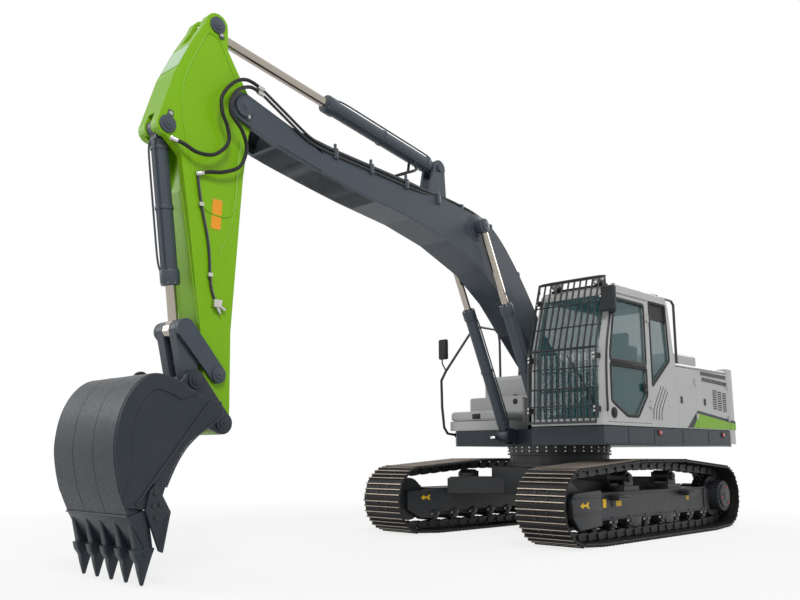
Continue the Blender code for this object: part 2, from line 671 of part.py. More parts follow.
def cab_profile(inset=0.0):
    """The cab's side outline, drawn in by an inset."""
    low, bend, high = FRONT_LINE
    return [
        (low[0] + inset, low[1] + inset), (bend[0] + inset, bend[1]), (high[0] + inset, high[1]),
        (high[0] + 0.08 + inset / 2, CAB_TOP - inset), (CAB_REAR_HIGH - inset / 2, CAB_TOP - inset),
        (CAB_REAR_HIGH + 0.07 - inset, CAB_TOP - 0.12), (CAB_REAR_LOW - inset, 2.0), (CAB_REAR_LOW - inset, low[1] + inset),
    ]


QUARTER_WINDOW = [(0.02, 1.78), (0.02, 2.82), (0.44, 2.82), (0.49, 2.12)]


def inset_outline(points, gap):
    """A convex outline moved in by a gap on every side."""
    count, moved = len(points), []
    area = sum(a[0] * b[1] - b[0] * a[1] for a, b in zip(points, points[1:] + points[:1]))
    sign = 1.0 if area > 0 else -1.0
    for k in range(count):
        before, here, after = points[k - 1], points[k], points[(k + 1) % count]
        d1 = Vector((here[0] - before[0], here[1] - before[1])).normalized()
        d2 = Vector((after[0] - here[0], after[1] - here[1])).normalized()
        n1, n2 = Vector((-d1.y, d1.x)) * sign, Vector((-d2.y, d2.x)) * sign
        shift = (n1 + n2) / (1.0 + n1.dot(n2)) * gap
        moved.append((here[0] + shift.x, here[1] + shift.y))
    return moved


def door_outline(gap):
    front_low, front_high = CAB_FRONT_LOW + 0.09, CAB_FRONT_HIGH + 0.02
    outline = [(front_low, DOOR_SILL), (DOOR_REAR, DOOR_SILL), (DOOR_REAR, DOOR_HEAD),
               (front_high, DOOR_HEAD), (CAB_BEND_Y + 0.09, CAB_BEND_Z)]
    return inset_outline(outline, gap)


DOOR_UPPER = [(-0.96, DOOR_BAR_HIGH), (-0.12, DOOR_BAR_HIGH), (-0.12, 2.76), (-0.80, 2.76), (-0.95, 2.15)]
DOOR_LOWER = [(-0.62, 1.40), (-0.36, 1.40), (-0.12, 1.66), (-0.12, DOOR_BAR_LOW), (-0.96, DOOR_BAR_LOW), (-0.96, 1.56)]


def cab():
    outer, inner = HOUSE_HALF, CAB_INNER
    shell = plate("shell", cab_profile(), inner, outer, GROUND)
    room = plate("room", cab_profile(CAB_WALL), inner + CAB_WALL, outer - CAB_WALL, GROUND)
    wall = (outer - CAB_WALL - 0.02, outer + 0.02)
    front = plate("front_hole", front_strip(1.36, 2.80, -0.08, 0.08), inner + 0.06, outer - 0.06, GROUND)
    rear = box("rear_hole", (inner + 0.10, 0.3, 2.08), (outer - 0.10, 0.8, 2.78), GROUND)
    right_outline = [(-0.98, 1.45), (0.50, 1.45), (0.50, 2.10), (0.42, 2.80), (-0.78, 2.80), (-0.98, CAB_BEND_Z)]
    right = plate("right_hole", right_outline, inner - 0.02, inner + CAB_WALL + 0.02, GROUND)
    quarter = plate("quarter_hole", QUARTER_WINDOW, *wall, GROUND)
    doorway = plate("doorway", door_outline(0.0), *wall, GROUND)
    node("cab_shell", "grey_paint", [shell], [room, front, rear, right, quarter, doorway])

    def pane(name, outline, x_low, x_high, frame=GROUND, shift=0.0):
        seat = [(y - shift, z) for y, z in inset_outline(outline, SEAT)]
        node(name, "glass", [plate(name, seat, x_low, x_high, frame)])

    strip = front_strip(1.36 + SEAT, 2.80 - SEAT, -0.010 - GLASS, -0.010)
    node("windshield", "glass", [plate("screen", strip, inner + 0.06 + SEAT, outer - 0.06 - SEAT, GROUND)])
    pane("right_window", right_outline, inner + 0.02, inner + 0.02 + GLASS)
    pane("quarter_window", QUARTER_WINDOW, outer - 0.02 - GLASS, outer - 0.02)
    # the rear pane leans with the cab's rear wall
    lean = [(CAB_REAR_LOW - 0.02, 2.0), (CAB_REAR_HIGH + 0.05, CAB_TOP - 0.12)]
    slope = (lean[1][0] - lean[0][0]) / (lean[1][1] - lean[0][1])
    low_y, high_y = lean[0][0] + slope * 0.0803, lean[0][0] + slope * 0.7797
    rear_pane = [(low_y, 2.0803), (high_y, 2.7797), (high_y - GLASS, 2.7797), (low_y - GLASS, 2.0803)]
    node("rear_window", "glass", [plate("pane", rear_pane, inner + 0.10 + SEAT, outer - 0.10 - SEAT, GROUND)])

    hinge = empty("door_hinge", DOOR_REAR, 0.0, GROUND, x=outer + 0.015)

    def at_hinge(points):
        return [(y - DOOR_REAR, z) for y, z in points]

    leaf = plate("leaf", at_hinge(door_outline(CLEAR)), -0.015 - CAB_WALL, -0.015, hinge)
    holes = [plate("hole", at_hinge(points), -0.1, 0.02, hinge) for points in (DOOR_UPPER, DOOR_LOWER)]
    knuckles = [
        rod("knuckle", 0.014, (0, 0, z), (0, 0, z + 0.10), hinge, 8) for z in (1.50, 2.55)
    ]
    straps = [box("strap", (-0.03, -0.06, z), (0.0, -0.003, z + 0.06), hinge) for z in (1.52, 2.57)]
    node("cab_door", "grey_paint", [leaf, *knuckles, *straps], holes)
    for name, outline in (("door_glass_upper", DOOR_UPPER), ("door_glass_lower", DOOR_LOWER)):
        pane(name, outline, -0.035 - GLASS, -0.035, hinge, DOOR_REAR)

    floor = DECK_TOP + 0.01 + CAB_WALL
    middle = (inner + outer) / 2
    seat_parts = [
        soften(box("pedestal", (middle - 0.16, -0.42, floor + SEAT), (middle + 0.16, 0.02, 1.62), GROUND), 0.02),
        soften(box("cushion", (middle - 0.25, -0.50, 1.60), (middle + 0.25, 0.045, 1.74), GROUND), 0.03, 2),
        soften(box("back", (middle - 0.24, 0.0, 1.68), (middle + 0.24, 0.14, 2.30), GROUND, -0.12), 0.04, 2),
        soften(box("head_rest", (middle - 0.13, 0.075, 2.24), (middle + 0.13, 0.155, 2.48), GROUND, -0.12), 0.02),
    ]
    node("seat", "trim", seat_parts)
    for side, name in ((-1, "right_console"), (1, "left_console")):
        a, b = sorted((middle + side * 0.262, middle + side * 0.40))
        centre = (a + b) / 2
        parts = [
            box("console", (a, -0.52, 1.58), (b, 0.10, 1.80), GROUND),
            box("foot", (a + 0.03, -0.30, floor + SEAT), (b - 0.03, 0.02, 1.60), GROUND),
            rod("lever", 0.013, (centre, -0.47, 1.77), (centre, -0.47, 1.98), GROUND, 8),
            rod("grip", 0.026, (centre, -0.47, 1.96), (centre, -0.47, 2.08), GROUND, 10),
        ]
        node(name, "trim", parts)

    guard_out = GUARD_GAP
    low_z, high_z = 1.30, 3.02
    strip = front_strip(low_z, high_z, guard_out, guard_out + 0.014)
    screen = plate("screen", strip, inner + CLEAR, outer - 0.03, GROUND)
    pitch = (outer - 0.03 - inner - CLEAR - 0.02) / GUARD_SLOTS
    slots = bmesh.new()
    for z_from, z_to in ((1.33, 1.69), (1.71, 2.14), (2.17, 2.99)):
        middle_z = (z_from + z_to) / 2
        for k in range(GUARD_SLOTS):
            x = inner + CLEAR + 0.02 + (k + 0.5) * pitch
            size = Matrix.Diagonal((pitch - 0.018, 0.4, z_to - z_from, 1.0))
            place = Matrix.Translation((x, front_at(middle_z, guard_out), middle_z))
            bmesh.ops.create_cube(slots, size=1.0, matrix=place @ size)
    comb = add_mesh("slots", slots, GROUND)
    brackets = []
    for z in (1.46, 2.06, 2.78):
        for x_low, x_high in ((inner + CLEAR, inner + 0.045), (outer - 0.075, outer - 0.03)):
            y = front_at(z, 0.0)
            outline = [(front_at(z - 0.03) - SEAT, z - 0.03), (front_at(z + 0.03) - SEAT, z + 0.03),
                       (front_at(z + 0.03, guard_out + 0.005), z + 0.03), (front_at(z - 0.03, guard_out + 0.005), z - 0.03)]
            brackets.append(plate("bracket", outline, x_low, x_high, GROUND))
    boolean(screen, [comb], "DIFFERENCE")
    node("cab_guard", "navy_paint", [screen, *brackets])

    lamps = [box("rail", (inner + 0.10, -0.80, CAB_TOP + SEAT), (outer - 0.10, -0.76, CAB_TOP + 0.03), GROUND)]
    for x in (inner + 0.20, outer - 0.20):
        lamps.append(rod("lamp", 0.055, (x, -0.86, CAB_TOP + 0.07), (x, -0.78, CAB_TOP + 0.07), GROUND, 16))
        lamps.append(box("post", (x - 0.015, -0.80, CAB_TOP + 0.01), (x + 0.015, -0.78, CAB_TOP + 0.06), GROUND))
    node("roof_lights", "black_steel", lamps)


# ---- mirrors and handrails -------------------------------------------------------------------------------------------
def rails():
    right = -HOUSE_HALF - 0.025
    route = [(right, -0.42, 1.22), (right, -0.62, 1.24), (right, -0.69, 1.32), (right, -0.73, 1.60),
             (right, -0.74, 1.96), (right, -0.64, 2.10), (right, -0.38, 2.38), (right, -0.10, 2.68),
             (right, 0.0, 2.76), (right, 0.165, 2.80), (right, 0.50, 2.80), (right, 0.58, 2.74), (right, 0.60, 2.62),
             (right, 0.60, 1.90)]
    bar = tube("bar", route, 0.018, GROUND)
    feet = [
        box("foot", (right - 0.01, -0.46, 1.19), (-HOUSE_HALF - SEAT, -0.40, 1.25), GROUND),
        box("foot", (right - 0.01, 0.57, 1.86), (-HOUSE_HALF - SEAT, 0.63, 1.94), GROUND),
    ]
    arm = tube("stalk", [(right, -0.64, 2.10), (right, -0.72, 2.20), (right, -0.72, 2.36)], 0.010, GROUND)
    head = box("mirror", (right - 0.04, -0.75, 2.26), (right + 0.10, -0.70, 2.52), GROUND)
    node("right_handrail", "black_steel", [bar, *feet, arm, soften(head, 0.01)])

    x = HOUSE_HALF - 0.10
    route = [(x, 0.40, CAB_TOP + 0.03), (x, 0.84, CAB_TOP + 0.03), (x, 0.90, CAB_TOP - 0.02), (x, 0.90, CAB_TOP - 0.10),
             (x, 0.90, HOUSE_TOP + 0.01)]
    bar = tube("bar", route, 0.018, GROUND)
    feet = [
        box("foot", (x - 0.03, 0.36, CAB_TOP + SEAT), (x + 0.03, 0.42, CAB_TOP + 0.045), GROUND),
        box("foot", (x - 0.03, 0.87, HOUSE_TOP + SEAT), (x + 0.03, 0.93, HOUSE_TOP + 0.02), GROUND),
    ]
    node("rear_handrail", "black_steel", [bar, *feet])

    x = HOUSE_HALF
    plate_y = front_at(2.58) + 0.05
    foot = box("foot", (x + SEAT, plate_y - 0.02, 2.54), (x + 0.02, plate_y + 0.03, 2.62), GROUND)
    arm = tube("stalk", [(x + 0.01, plate_y, 2.58), (x + 0.06, plate_y - 0.02, 2.60), (x + 0.08, plate_y - 0.14, 2.68)],
               0.010, GROUND)
    head = box("head", (x - 0.01, plate_y - 0.17, 2.57), (x + 0.17, plate_y - 0.13, 2.85), GROUND)
    node("left_mirror", "black_steel", [foot, arm, soften(head, 0.01)])


# ---- boom, arm and cylinders -------------------------------------------------------------------------------------------
FORK_HALF = ARM_HALF + RUNNING
FORK_DEPTH = 0.44


def boom():
    end = BOOM_LENGTH
    outline = (
        arc(0, 0, 0.14, 110, 290, 8)
        + [(0.566, 0.063), (1.109, 0.246), (1.616, 0.424), (2.149, 0.515), (2.835, 0.480)]
        + [(end - 2.275, 0.366), (end - 1.58, 0.163), (end - 1.04, 0.028), (end - 0.47, -0.097)]
        + arc(end, 0, 0.135, -100, 80, 8)
        + [(end - 0.534, 0.196), (end - 1.10, 0.375), (end - 2.135, 0.755)]
        + [(2.774, 1.000), (2.500, 1.080), (2.248, 1.110), (1.980, 1.060), (1.580, 0.900), (1.182, 0.700), (0.55, 0.34)]
    )
    body = plate("body", forward(outline), -BOOM_HALF, BOOM_HALF, BOOM, [ring(0, 0, pin_bore())])
    y, z = -ARM_CYLINDER_BASE[0], ARM_CYLINDER_BASE[1]
    eye = CYLINDERS["arm"][3]
    pieces = [body]
    ears = arc(y, z, 0.10, 0, 180, 8) + [(y + 0.0, z - 0.45), (y + 0.32, z - 0.40)]
    for side in (-1, 1):
        low, high = sorted((side * (eye + SEAT), side * (eye + 0.035)))
        pieces.append(plate("ear", ears, low, high, BOOM))
        low, high = sorted((side * (BOOM_HALF - 0.01), side * (BOOM_CYLINDER_X - EYE_HALF - SEAT)))
        pieces.append(cross_rod("boss", 0.075, low, high, -BOOM_CYLINDER_PIN[0], BOOM_CYLINDER_PIN[1], BOOM))
    pieces.append(cross_rod("pin", PIN_RADIUS, -eye - 0.06, eye + 0.06, y, z, BOOM, 10))
    slot = box("slot", (-FORK_HALF, -end - 0.3, -0.5), (FORK_HALF, -end + FORK_DEPTH, 0.6), BOOM)
    reach, root = BOOM_HALF + 0.025, BOOM_HALF - 0.012
    profile = [(0.10, -reach), (0.10, -root), (PIN_RADIUS, -root), (PIN_RADIUS, root), (0.10, root), (0.10, reach)]
    tip_pin = turned_across("tip_pin", profile, 0, -end, 0, BOOM)
    made = node("boom", "dark_paint", pieces, [slot])
    boolean(made, [tip_pin], "UNION")


def arm():
    end = ARM_LENGTH
    top_y, top_z = ARM_CYLINDER_PIN
    lug_y, lug_z = BUCKET_CYLINDER_BASE
    outline = (
        arc(top_y, top_z, 0.115, 100, 270, 8)
        + [(-0.50, 0.185), (-0.356, 0.084)]
        + [(-0.16, -0.06), (-0.08, -0.13), (0.08, -0.14), (0.238, -0.10)]
        + [(0.669, -0.070), (end - 0.79, -0.045), (end - 0.15, -0.085)]
        + arc(end, 0, 0.095, -110, 90, 8)
        + [(end - 0.264, 0.179), (end - 0.762, 0.257), (end - 1.864, 0.486), (0.62, 0.575)]
        + arc(lug_y, lug_z, 0.10, 0, 120, 6)
        + [(-0.10, 0.700), (-0.44, 0.560), (top_y + 0.03, top_z + 0.13)]
    )
    bores = [ring(0, 0, pin_bore()), ring(-end, 0, pin_bore()), ring(ROCKER_PIVOT[0] - end, ROCKER_PIVOT[1], pin_bore())]
    body = plate("body", forward(outline), -ARM_HALF, ARM_HALF, ARM, bores)
    eye = CYLINDERS["arm"][3]
    slot_half = eye + 0.012
    reach = CYLINDERS["arm"][2] + 0.13
    top_slot = box("top_slot", (-slot_half, -top_y - reach, top_z - 0.4), (slot_half, -top_y + 0.3, top_z + 0.6), ARM)
    eye = CYLINDERS["bucket"][3]
    lug_slot = box("lug_slot", (-eye - SEAT, -lug_y - 0.28, lug_z - 0.11), (eye + SEAT, -lug_y + 0.11, lug_z + 0.3), ARM)
    half, start = CYLINDERS["bucket"][0] + 0.012, CYLINDERS["bucket"][2] - 0.015
    barrel_slot = box("barrel_slot", (-half, -lug_y - 0.75, lug_z - 0.22), (half, -lug_y - start, lug_z + 0.3), ARM)
    made = node("arm", "lime_paint", [body], [top_slot, lug_slot, barrel_slot])
    pin = cross_rod("pin", PIN_RADIUS, -ARM_HALF - 0.02, ARM_HALF + 0.02, -lug_y, lug_z, ARM)
    boolean(made, [pin], "UNION")


def cylinder_pair(barrel_name, rod_name, base, tip, x, kind, barrel_end, pin_half):
    """A barrel with its bored eye on the base pin, and a rod whose eye carries a stub of pin."""
    barrel_radius, rod_radius, eye_radius, eye_half = CYLINDERS[kind]
    length = math.dist(base, tip)
    tilt = math.atan2(tip[1] - base[1], base[0] - tip[0])
    frame = empty(barrel_name + "_pin", base[0], base[1], GROUND, x=x, turn=-tilt)
    neck = eye_radius + 0.02
    eye_outline = arc(0, 0, eye_radius, -140, 140, 12) + [(-neck - 0.02, 0.055), (-neck - 0.02, -0.055)]
    eye = plate("eye", eye_outline, -eye_half, eye_half, frame, [ring(0, 0, pin_bore())])
    bore, collar = rod_radius + RUNNING, barrel_radius + 0.008
    profile = [(barrel_radius, neck), (barrel_radius, barrel_end - 0.10), (collar, barrel_end - 0.10),
               (collar, barrel_end), (bore, barrel_end), (bore, neck + 0.05)]
    barrel = turned("barrel", profile, frame, (0, 0, 0), (math.pi / 2, 0.0, 0.0), 16)
    node(barrel_name, "dark_paint", [barrel, eye])
    piston = rod("piston", rod_radius, (0, -barrel_end + 0.30, 0), (0, -length, 0), frame, 16)
    tip_eye = cross_rod("tip_eye", eye_radius, -eye_half, eye_half, -length, 0, frame)
    pieces = [piston, tip_eye]
    if pin_half:
        pieces.append(cross_rod("stub", PIN_RADIUS, *pin_half, -length, 0, frame))
    node(rod_name, "chrome", pieces)


def cylinders():
    pin = from_pin(BOOM_FOOT, BOOM_ANGLE, BOOM_CYLINDER_PIN)
    for side, name in ((1, "left"), (-1, "right")):
        stub = sorted((side * EYE_HALF * 0.5, side * (EYE_HALF + 0.025)))
        cylinder_pair(f"boom_cylinder_barrel_{name}", f"boom_cylinder_rod_{name}", BOOM_CYLINDER_BASE, pin,
                      side * BOOM_CYLINDER_X, "boom", 1.66, stub)
    base = from_pin(BOOM_FOOT, BOOM_ANGLE, ARM_CYLINDER_BASE)
    tip = from_pin(ARM_PIN, -ARM_ANGLE, ARM_CYLINDER_PIN)
    cylinder_pair("arm_cylinder_barrel", "arm_cylinder_rod", base, tip, 0.0, "arm", 1.72, None)
    base = from_pin(ARM_PIN, -ARM_ANGLE, BUCKET_CYLINDER_BASE)
    cylinder_pair("bucket_cylinder_barrel", "bucket_cylinder_rod", base, ROCKER_TOP, 0.0, "bucket", 1.36, None)


def linkage():
    inner = ARM_HALF + RUNNING
    foot, top = ROCKER_FOOT, ROCKER_TOP
    frame = empty("rocker_pivot", *foot, GROUND)
    dy, dz = top[0] - foot[0], top[1] - foot[1]
    tilt = math.degrees(math.atan2(dz, dy))
    outline = arc(dy, dz, 0.085, tilt - 80, tilt + 80, 8) + arc(0, 0, 0.075, tilt + 100, tilt + 260, 8)
    pieces = [cross_rod("pin", PIN_RADIUS, -inner - 0.03, inner + 0.03, 0, 0, frame)]
    for side in (-1, 1):
        low, high = sorted((side * inner, side * (inner + 0.035)))
        pieces.append(plate("lever", outline, low, high, frame))
    node("bucket_rocker", "dark_paint", pieces)

    frame = empty("link_pin", *LINK_PIN, GROUND)
    dy, dz = top[0] - LINK_PIN[0], top[1] - LINK_PIN[1]
    tilt = math.degrees(math.atan2(dz, dy))
    eye_in, eye_out = CYLINDERS["bucket"][3] + SEAT, inner - SEAT
    bar = arc(dy, dz, 0.085, tilt - 80, tilt + 80, 8) + arc(0, 0, 0.075, tilt + 100, tilt + 260, 8)
    hole = [ring(0, 0, pin_bore())]
    pieces = [plate("sleeve", ring(0, 0, 0.072, 12), -eye_out, eye_out, frame, hole)]
    for side in (-1, 1):
        low, high = sorted((side * eye_in, side * (eye_out - CLEAR)))
        pieces.append(plate("bar", bar, low, high, frame, hole))
    share = 0.42
    web = [(dy * share - 0.05, dz * share), (dy * share + 0.05, dz * share), (0.03, 0.060), (-0.04, 0.055)]
    pieces.append(plate("web", web, -eye_in - 0.01, eye_in + 0.01, frame))
    node("bucket_link", "dark_paint", pieces)


# ---- bucket ------------------------------------------------------------------------------------------------------
BUCKET_TOP = [(-0.22, 0.16), (-0.40, 0.20), (-0.62, 0.31), (-0.80, 0.355), (-0.90, 0.33), (-1.01, 0.22),
              (-1.09, 0.05), (-1.125, -0.156), (-1.115, -0.32), (-1.06, -0.52), (-0.98, -0.70)]
BUCKET_MOUTH = [(-0.84, -0.66), (-0.72, -0.60), (-0.69, -0.50), (-0.62, -0.34), (-0.53, -0.20), (-0.40, -0.08),
                (-0.28, 0.0), (-0.20, 0.07)]


def offset_line(points, distance):
    """An open line moved to its left by a distance."""
    moved = []
    for k, here in enumerate(points):
        before, after = points[max(k - 1, 0)], points[min(k + 1, len(points) - 1)]
        run = Vector((after[0] - before[0], after[1] - before[1])).normalized()
        moved.append((here[0] - run.y * distance, here[1] + run.x * distance))
    return moved


def bucket():
    half, wall = BUCKET_HALF, BUCKET_PLATE
    side_outline = BUCKET_TOP + BUCKET_MOUTH
    shell_line = BUCKET_TOP + list(reversed(offset_line(BUCKET_TOP, wall)))
    pieces = [plate("wrapper", shell_line, -half + 0.01, half - 0.01, BUCKET)]
    for side in (-1, 1):
        low, high = sorted((side * (half - wall), side * half))
        pieces.append(plate("side", side_outline, low, high, BUCKET))
    y, z = BUCKET_LINK_PIN
    ear_in, ear_out = ARM_HALF + RUNNING, ARM_HALF + 0.05
    ear = (arc(0, 0, 0.095, -110, 60, 8) + arc(y, z, 0.095, 30, 170, 6)
           + [(-0.52, 0.245), (-0.50, 0.215), (-0.34, 0.10), (-0.20, -0.02)])
    for side in (-1, 1):
        low, high = sorted((side * ear_in, side * ear_out))
        pieces.append(plate("ear", ear, low, high, BUCKET))
    for pin_y, pin_z in ((0, 0), (y, z)):
        pieces.append(cross_rod("pin", PIN_RADIUS, -ear_out - 0.03, ear_out + 0.03, pin_y, pin_z, BUCKET))
    node("bucket_shell", "navy_paint", pieces)

    lip = [(-0.98 + 0.002, -0.70 - SEAT * 2), (-0.84, -0.66 - SEAT * 2), (-0.80, -0.93), (-0.84, -0.93)]
    parts = [plate("lip", lip, -half, half, BUCKET)]
    tooth = [(-0.955, -0.74), (-0.79, -0.70), (-0.745, -0.93), (-0.745, -0.97), (-0.80, -1.10), (-0.82, -1.20),
             (-0.845, -1.20), (-0.90, -1.08), (-0.925, -0.97), (-0.94, -0.93)]
    for k in range(TEETH):
        x = (k / (TEETH - 1) - 0.5) * 2 * (half - 0.045)
        parts.append(plate("tooth", tooth, x - 0.04, x + 0.04, BUCKET))
    node("bucket_cutting_edge", "navy_paint", parts)
    cutter = [(-0.83, -0.52), (-0.78, -0.47), (-0.65, -0.68), (-0.70, -0.975), (-0.735, -0.96), (-0.86, -0.66)]
    for side, name in ((1, "left"), (-1, "right")):
        low, high = sorted((side * (half + SEAT), side * (half + 0.03)))
        node(f"side_cutter_{name}", "navy_paint", [plate("cutter", cutter, low, high, BUCKET)])


# ---- hoses -------------------------------------------------------------------------------------------------------
HOSE_RADIUS = 0.017
ARM_HOSES = {
    "arm_hose_bucket": [(0.225, -5.08, 4.31), (0.235, -5.25, 4.34), (0.25, -5.40, 4.27), (0.26, -5.53, 4.10),
                        (0.26, -5.53, 3.95), (0.25, -5.46, 3.82), (0.24, -5.44, 3.68), (0.24, -5.57, 3.54),
                        (0.24, -5.74, 3.51), (0.22, -5.87, 3.56), (0.170, -5.95, 3.60)],
    "arm_hose_auxiliary": [(0.225, -5.08, 4.26), (0.24, -5.22, 4.28), (0.27, -5.38, 4.19), (0.29, -5.46, 4.05),
                           (0.29, -5.45, 3.94), (0.28, -5.32, 3.81), (0.25, -5.25, 3.67), (0.23, -5.30, 3.50),
                           (0.22, -5.46, 3.41), (0.20, -5.60, 3.38), (0.1705, -5.69, 3.35)],
}


def hoses():
    for name, route in ARM_HOSES.items():
        node(name, "rubber", [tube(name, smooth_line(route, 0.09), HOSE_RADIUS, GROUND)])


def main():
    for side, out in (("left", 1), ("right", -1)):
        x = out * TRACK_GAUGE / 2
        track(side, x)
        idler(side, x)
        sprocket(side, x, out)
        track_frame(side, x, out)
    car_body()
    swing_frame()
    counterweight()
    house()
    tanks()
    cab()
    rails()
    boom()
    arm()
    cylinders()
    linkage()
    bucket()
    hoses()
    bpy.context.view_layer.update()


main()
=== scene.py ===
# %% [markdown]
# # A crawler excavator
# The machine stands on two tracks. Its house, cab and digging arm swing on a ring above them.
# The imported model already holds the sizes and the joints, so this script only dresses it: it gives
# each solid its finish, and models the detail that a solid leaves out.

# %% Load the frame
import json
import math
import random

import bpy
from mathutils import Matrix, Vector


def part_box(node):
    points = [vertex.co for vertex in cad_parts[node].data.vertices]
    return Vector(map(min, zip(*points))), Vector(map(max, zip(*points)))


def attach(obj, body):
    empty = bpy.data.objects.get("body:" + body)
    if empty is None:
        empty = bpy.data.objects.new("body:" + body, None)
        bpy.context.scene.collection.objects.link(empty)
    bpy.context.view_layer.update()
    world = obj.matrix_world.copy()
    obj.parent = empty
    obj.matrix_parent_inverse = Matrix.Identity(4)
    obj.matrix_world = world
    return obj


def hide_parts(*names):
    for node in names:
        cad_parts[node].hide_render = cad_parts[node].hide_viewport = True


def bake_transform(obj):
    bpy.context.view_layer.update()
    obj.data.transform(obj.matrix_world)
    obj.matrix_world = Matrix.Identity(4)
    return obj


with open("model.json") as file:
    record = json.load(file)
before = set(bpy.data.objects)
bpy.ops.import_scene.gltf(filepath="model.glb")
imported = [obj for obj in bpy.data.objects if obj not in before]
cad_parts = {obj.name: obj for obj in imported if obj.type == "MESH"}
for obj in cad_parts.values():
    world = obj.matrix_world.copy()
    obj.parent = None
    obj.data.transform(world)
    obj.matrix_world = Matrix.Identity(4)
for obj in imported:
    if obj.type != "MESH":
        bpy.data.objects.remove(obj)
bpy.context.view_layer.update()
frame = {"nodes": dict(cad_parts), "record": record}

nodes = frame["nodes"]

# %% [markdown]
# The camera comes first, because everything after it is judged through it. A machine this long
# looks right from low down in front, with the lens tipped up a little, so that the boom rises
# against the sky. The script keeps the machine's box centre as the frame's origin.

# %% Camera
SWING = 1.825  # the swing centre's place along Y
LENS_MM, SENSOR_MM = 37.67, 36.0
HEADING, LIFT = math.radians(44.005), math.radians(10.42)

camera_data = bpy.data.cameras.new("camera")
camera_data.lens = LENS_MM
camera_data.sensor_width = SENSOR_MM
camera = bpy.data.objects.new("camera", camera_data)
bpy.context.scene.collection.objects.link(camera)
camera.location = (6.2385, SWING - 9.4561, 0.9647)
camera.rotation_euler = (math.pi / 2 + LIFT, 0.0, HEADING)
bpy.context.scene.camera = camera
print("camera at", [round(c, 2) for c in camera.location])

# %% [markdown]
# Metal paint shows its shape by what it mirrors, so the light is a wide pale sky, one broad lamp
# from above the camera's left and a weaker one behind. The floor and the sky show as plain white
# to the eye, while the light that they give stays at a level where a colour looks as written.

# %% Light and floor
def socket(shader, name, value):
    shader.inputs[name].default_value = value


def white_to_the_eye(tree, lit, white):
    """Shows lit to light rays, and white to the camera, to mirrors and through glass."""
    path = tree.nodes.new("ShaderNodeLightPath")
    seen = tree.nodes.new("ShaderNodeMath")
    seen.operation = "MAXIMUM"
    both = tree.nodes.new("ShaderNodeMath")
    both.operation = "MAXIMUM"
    tree.links.new(path.outputs["Is Camera Ray"], seen.inputs[0])
    tree.links.new(path.outputs["Is Glossy Ray"], seen.inputs[1])
    tree.links.new(seen.outputs[0], both.inputs[0])
    tree.links.new(path.outputs["Is Transmission Ray"], both.inputs[1])
    mix = tree.nodes.new("ShaderNodeMixShader")
    tree.links.new(both.outputs[0], mix.inputs[0])
    tree.links.new(lit, mix.inputs[1])
    tree.links.new(white, mix.inputs[2])
    return mix.outputs[0]


scene = bpy.context.scene
scene.view_settings.view_transform = "Standard"
world = bpy.data.worlds.new("sky")
scene.world = world
world.use_nodes = True
sky = world.node_tree
sky_light = sky.nodes["Background"]
socket(sky_light, "Color", (0.93, 0.96, 1.0, 1.0))
socket(sky_light, "Strength", 0.42)
sky_white = sky.nodes.new("ShaderNodeBackground")
socket(sky_white, "Color", (1.0, 1.0, 1.0, 1.0))
shown = white_to_the_eye(sky, sky_light.outputs[0], sky_white.outputs[0])
sky.links.new(shown, sky.nodes["World Output"].inputs["Surface"])


def lamp(name, place, target, size, watts):
    data = bpy.data.lights.new(name, "AREA")
    data.shape = "DISK"
    data.size = size
    data.energy = watts
    made = bpy.data.objects.new(name, data)
    scene.collection.objects.link(made)
    made.location = place
    aim = Vector(target) - Vector(place)
    made.rotation_euler = aim.to_track_quat("-Z", "Y").to_euler()
    return made


lamp("key", (9.0, -9.0, 12.0), (0.0, 0.0, 1.8), 5.0, 1150)
lamp("fill", (-8.0, -10.0, 6.0), (0.0, -1.0, 2.0), 6.0, 260)
lamp("rim", (2.0, 12.0, 8.0), (0.0, 0.0, 2.0), 5.0, 450)

bpy.ops.object.select_all(action="DESELECT")
bpy.ops.mesh.primitive_plane_add(size=120.0, location=(0.0, 0.0, -0.002))
floor = bpy.context.object
floor.name = "floor"
floor_finish = bpy.data.materials.new("floor")
floor_finish.use_nodes = True
tree = floor_finish.node_tree
socket(tree.nodes["Principled BSDF"], "Base Color", (0.80, 0.80, 0.80, 1.0))
socket(tree.nodes["Principled BSDF"], "Roughness", 0.9)
glow = tree.nodes.new("ShaderNodeEmission")
socket(glow, "Color", (1.0, 1.0, 1.0, 1.0))
part_white = tree.nodes.new("ShaderNodeMixShader")
far = tree.nodes.new("ShaderNodeVectorMath")
far.operation = "LENGTH"
tree.links.new(tree.nodes.new("ShaderNodeTexCoord").outputs["Object"], far.inputs[0])
fade = tree.nodes.new("ShaderNodeMapRange")
for name, value in (("From Min", 4.0), ("From Max", 9.0), ("To Min", 0.80), ("To Max", 1.0)):
    socket(fade, name, value)
tree.links.new(far.outputs["Value"], fade.inputs["Value"])
tree.links.new(fade.outputs["Result"], part_white.inputs[0])
tree.links.new(tree.nodes["Principled BSDF"].outputs[0], part_white.inputs[1])
tree.links.new(glow.outputs[0], part_white.inputs[2])
shown = white_to_the_eye(tree, tree.nodes["Principled BSDF"].outputs[0], part_white.outputs[0])
tree.links.new(shown, tree.nodes["Material Output"].inputs["Surface"])
floor.data.materials.append(floor_finish)
print("floor", floor.name)

# %% [markdown]
# Paint on a machine is never one flat colour. Its shade drifts over a metre, its gloss drifts
# over a hand's width, and the surface has the fine dimples that a spray gun leaves. Each of the
# three comes from a noise pattern in the piece's own coordinates, so nothing slides when a joint
# moves. One function makes every finish, and takes what differs between them.

# %% Finishes
def link(tree, a, b):
    tree.links.new(a, b)


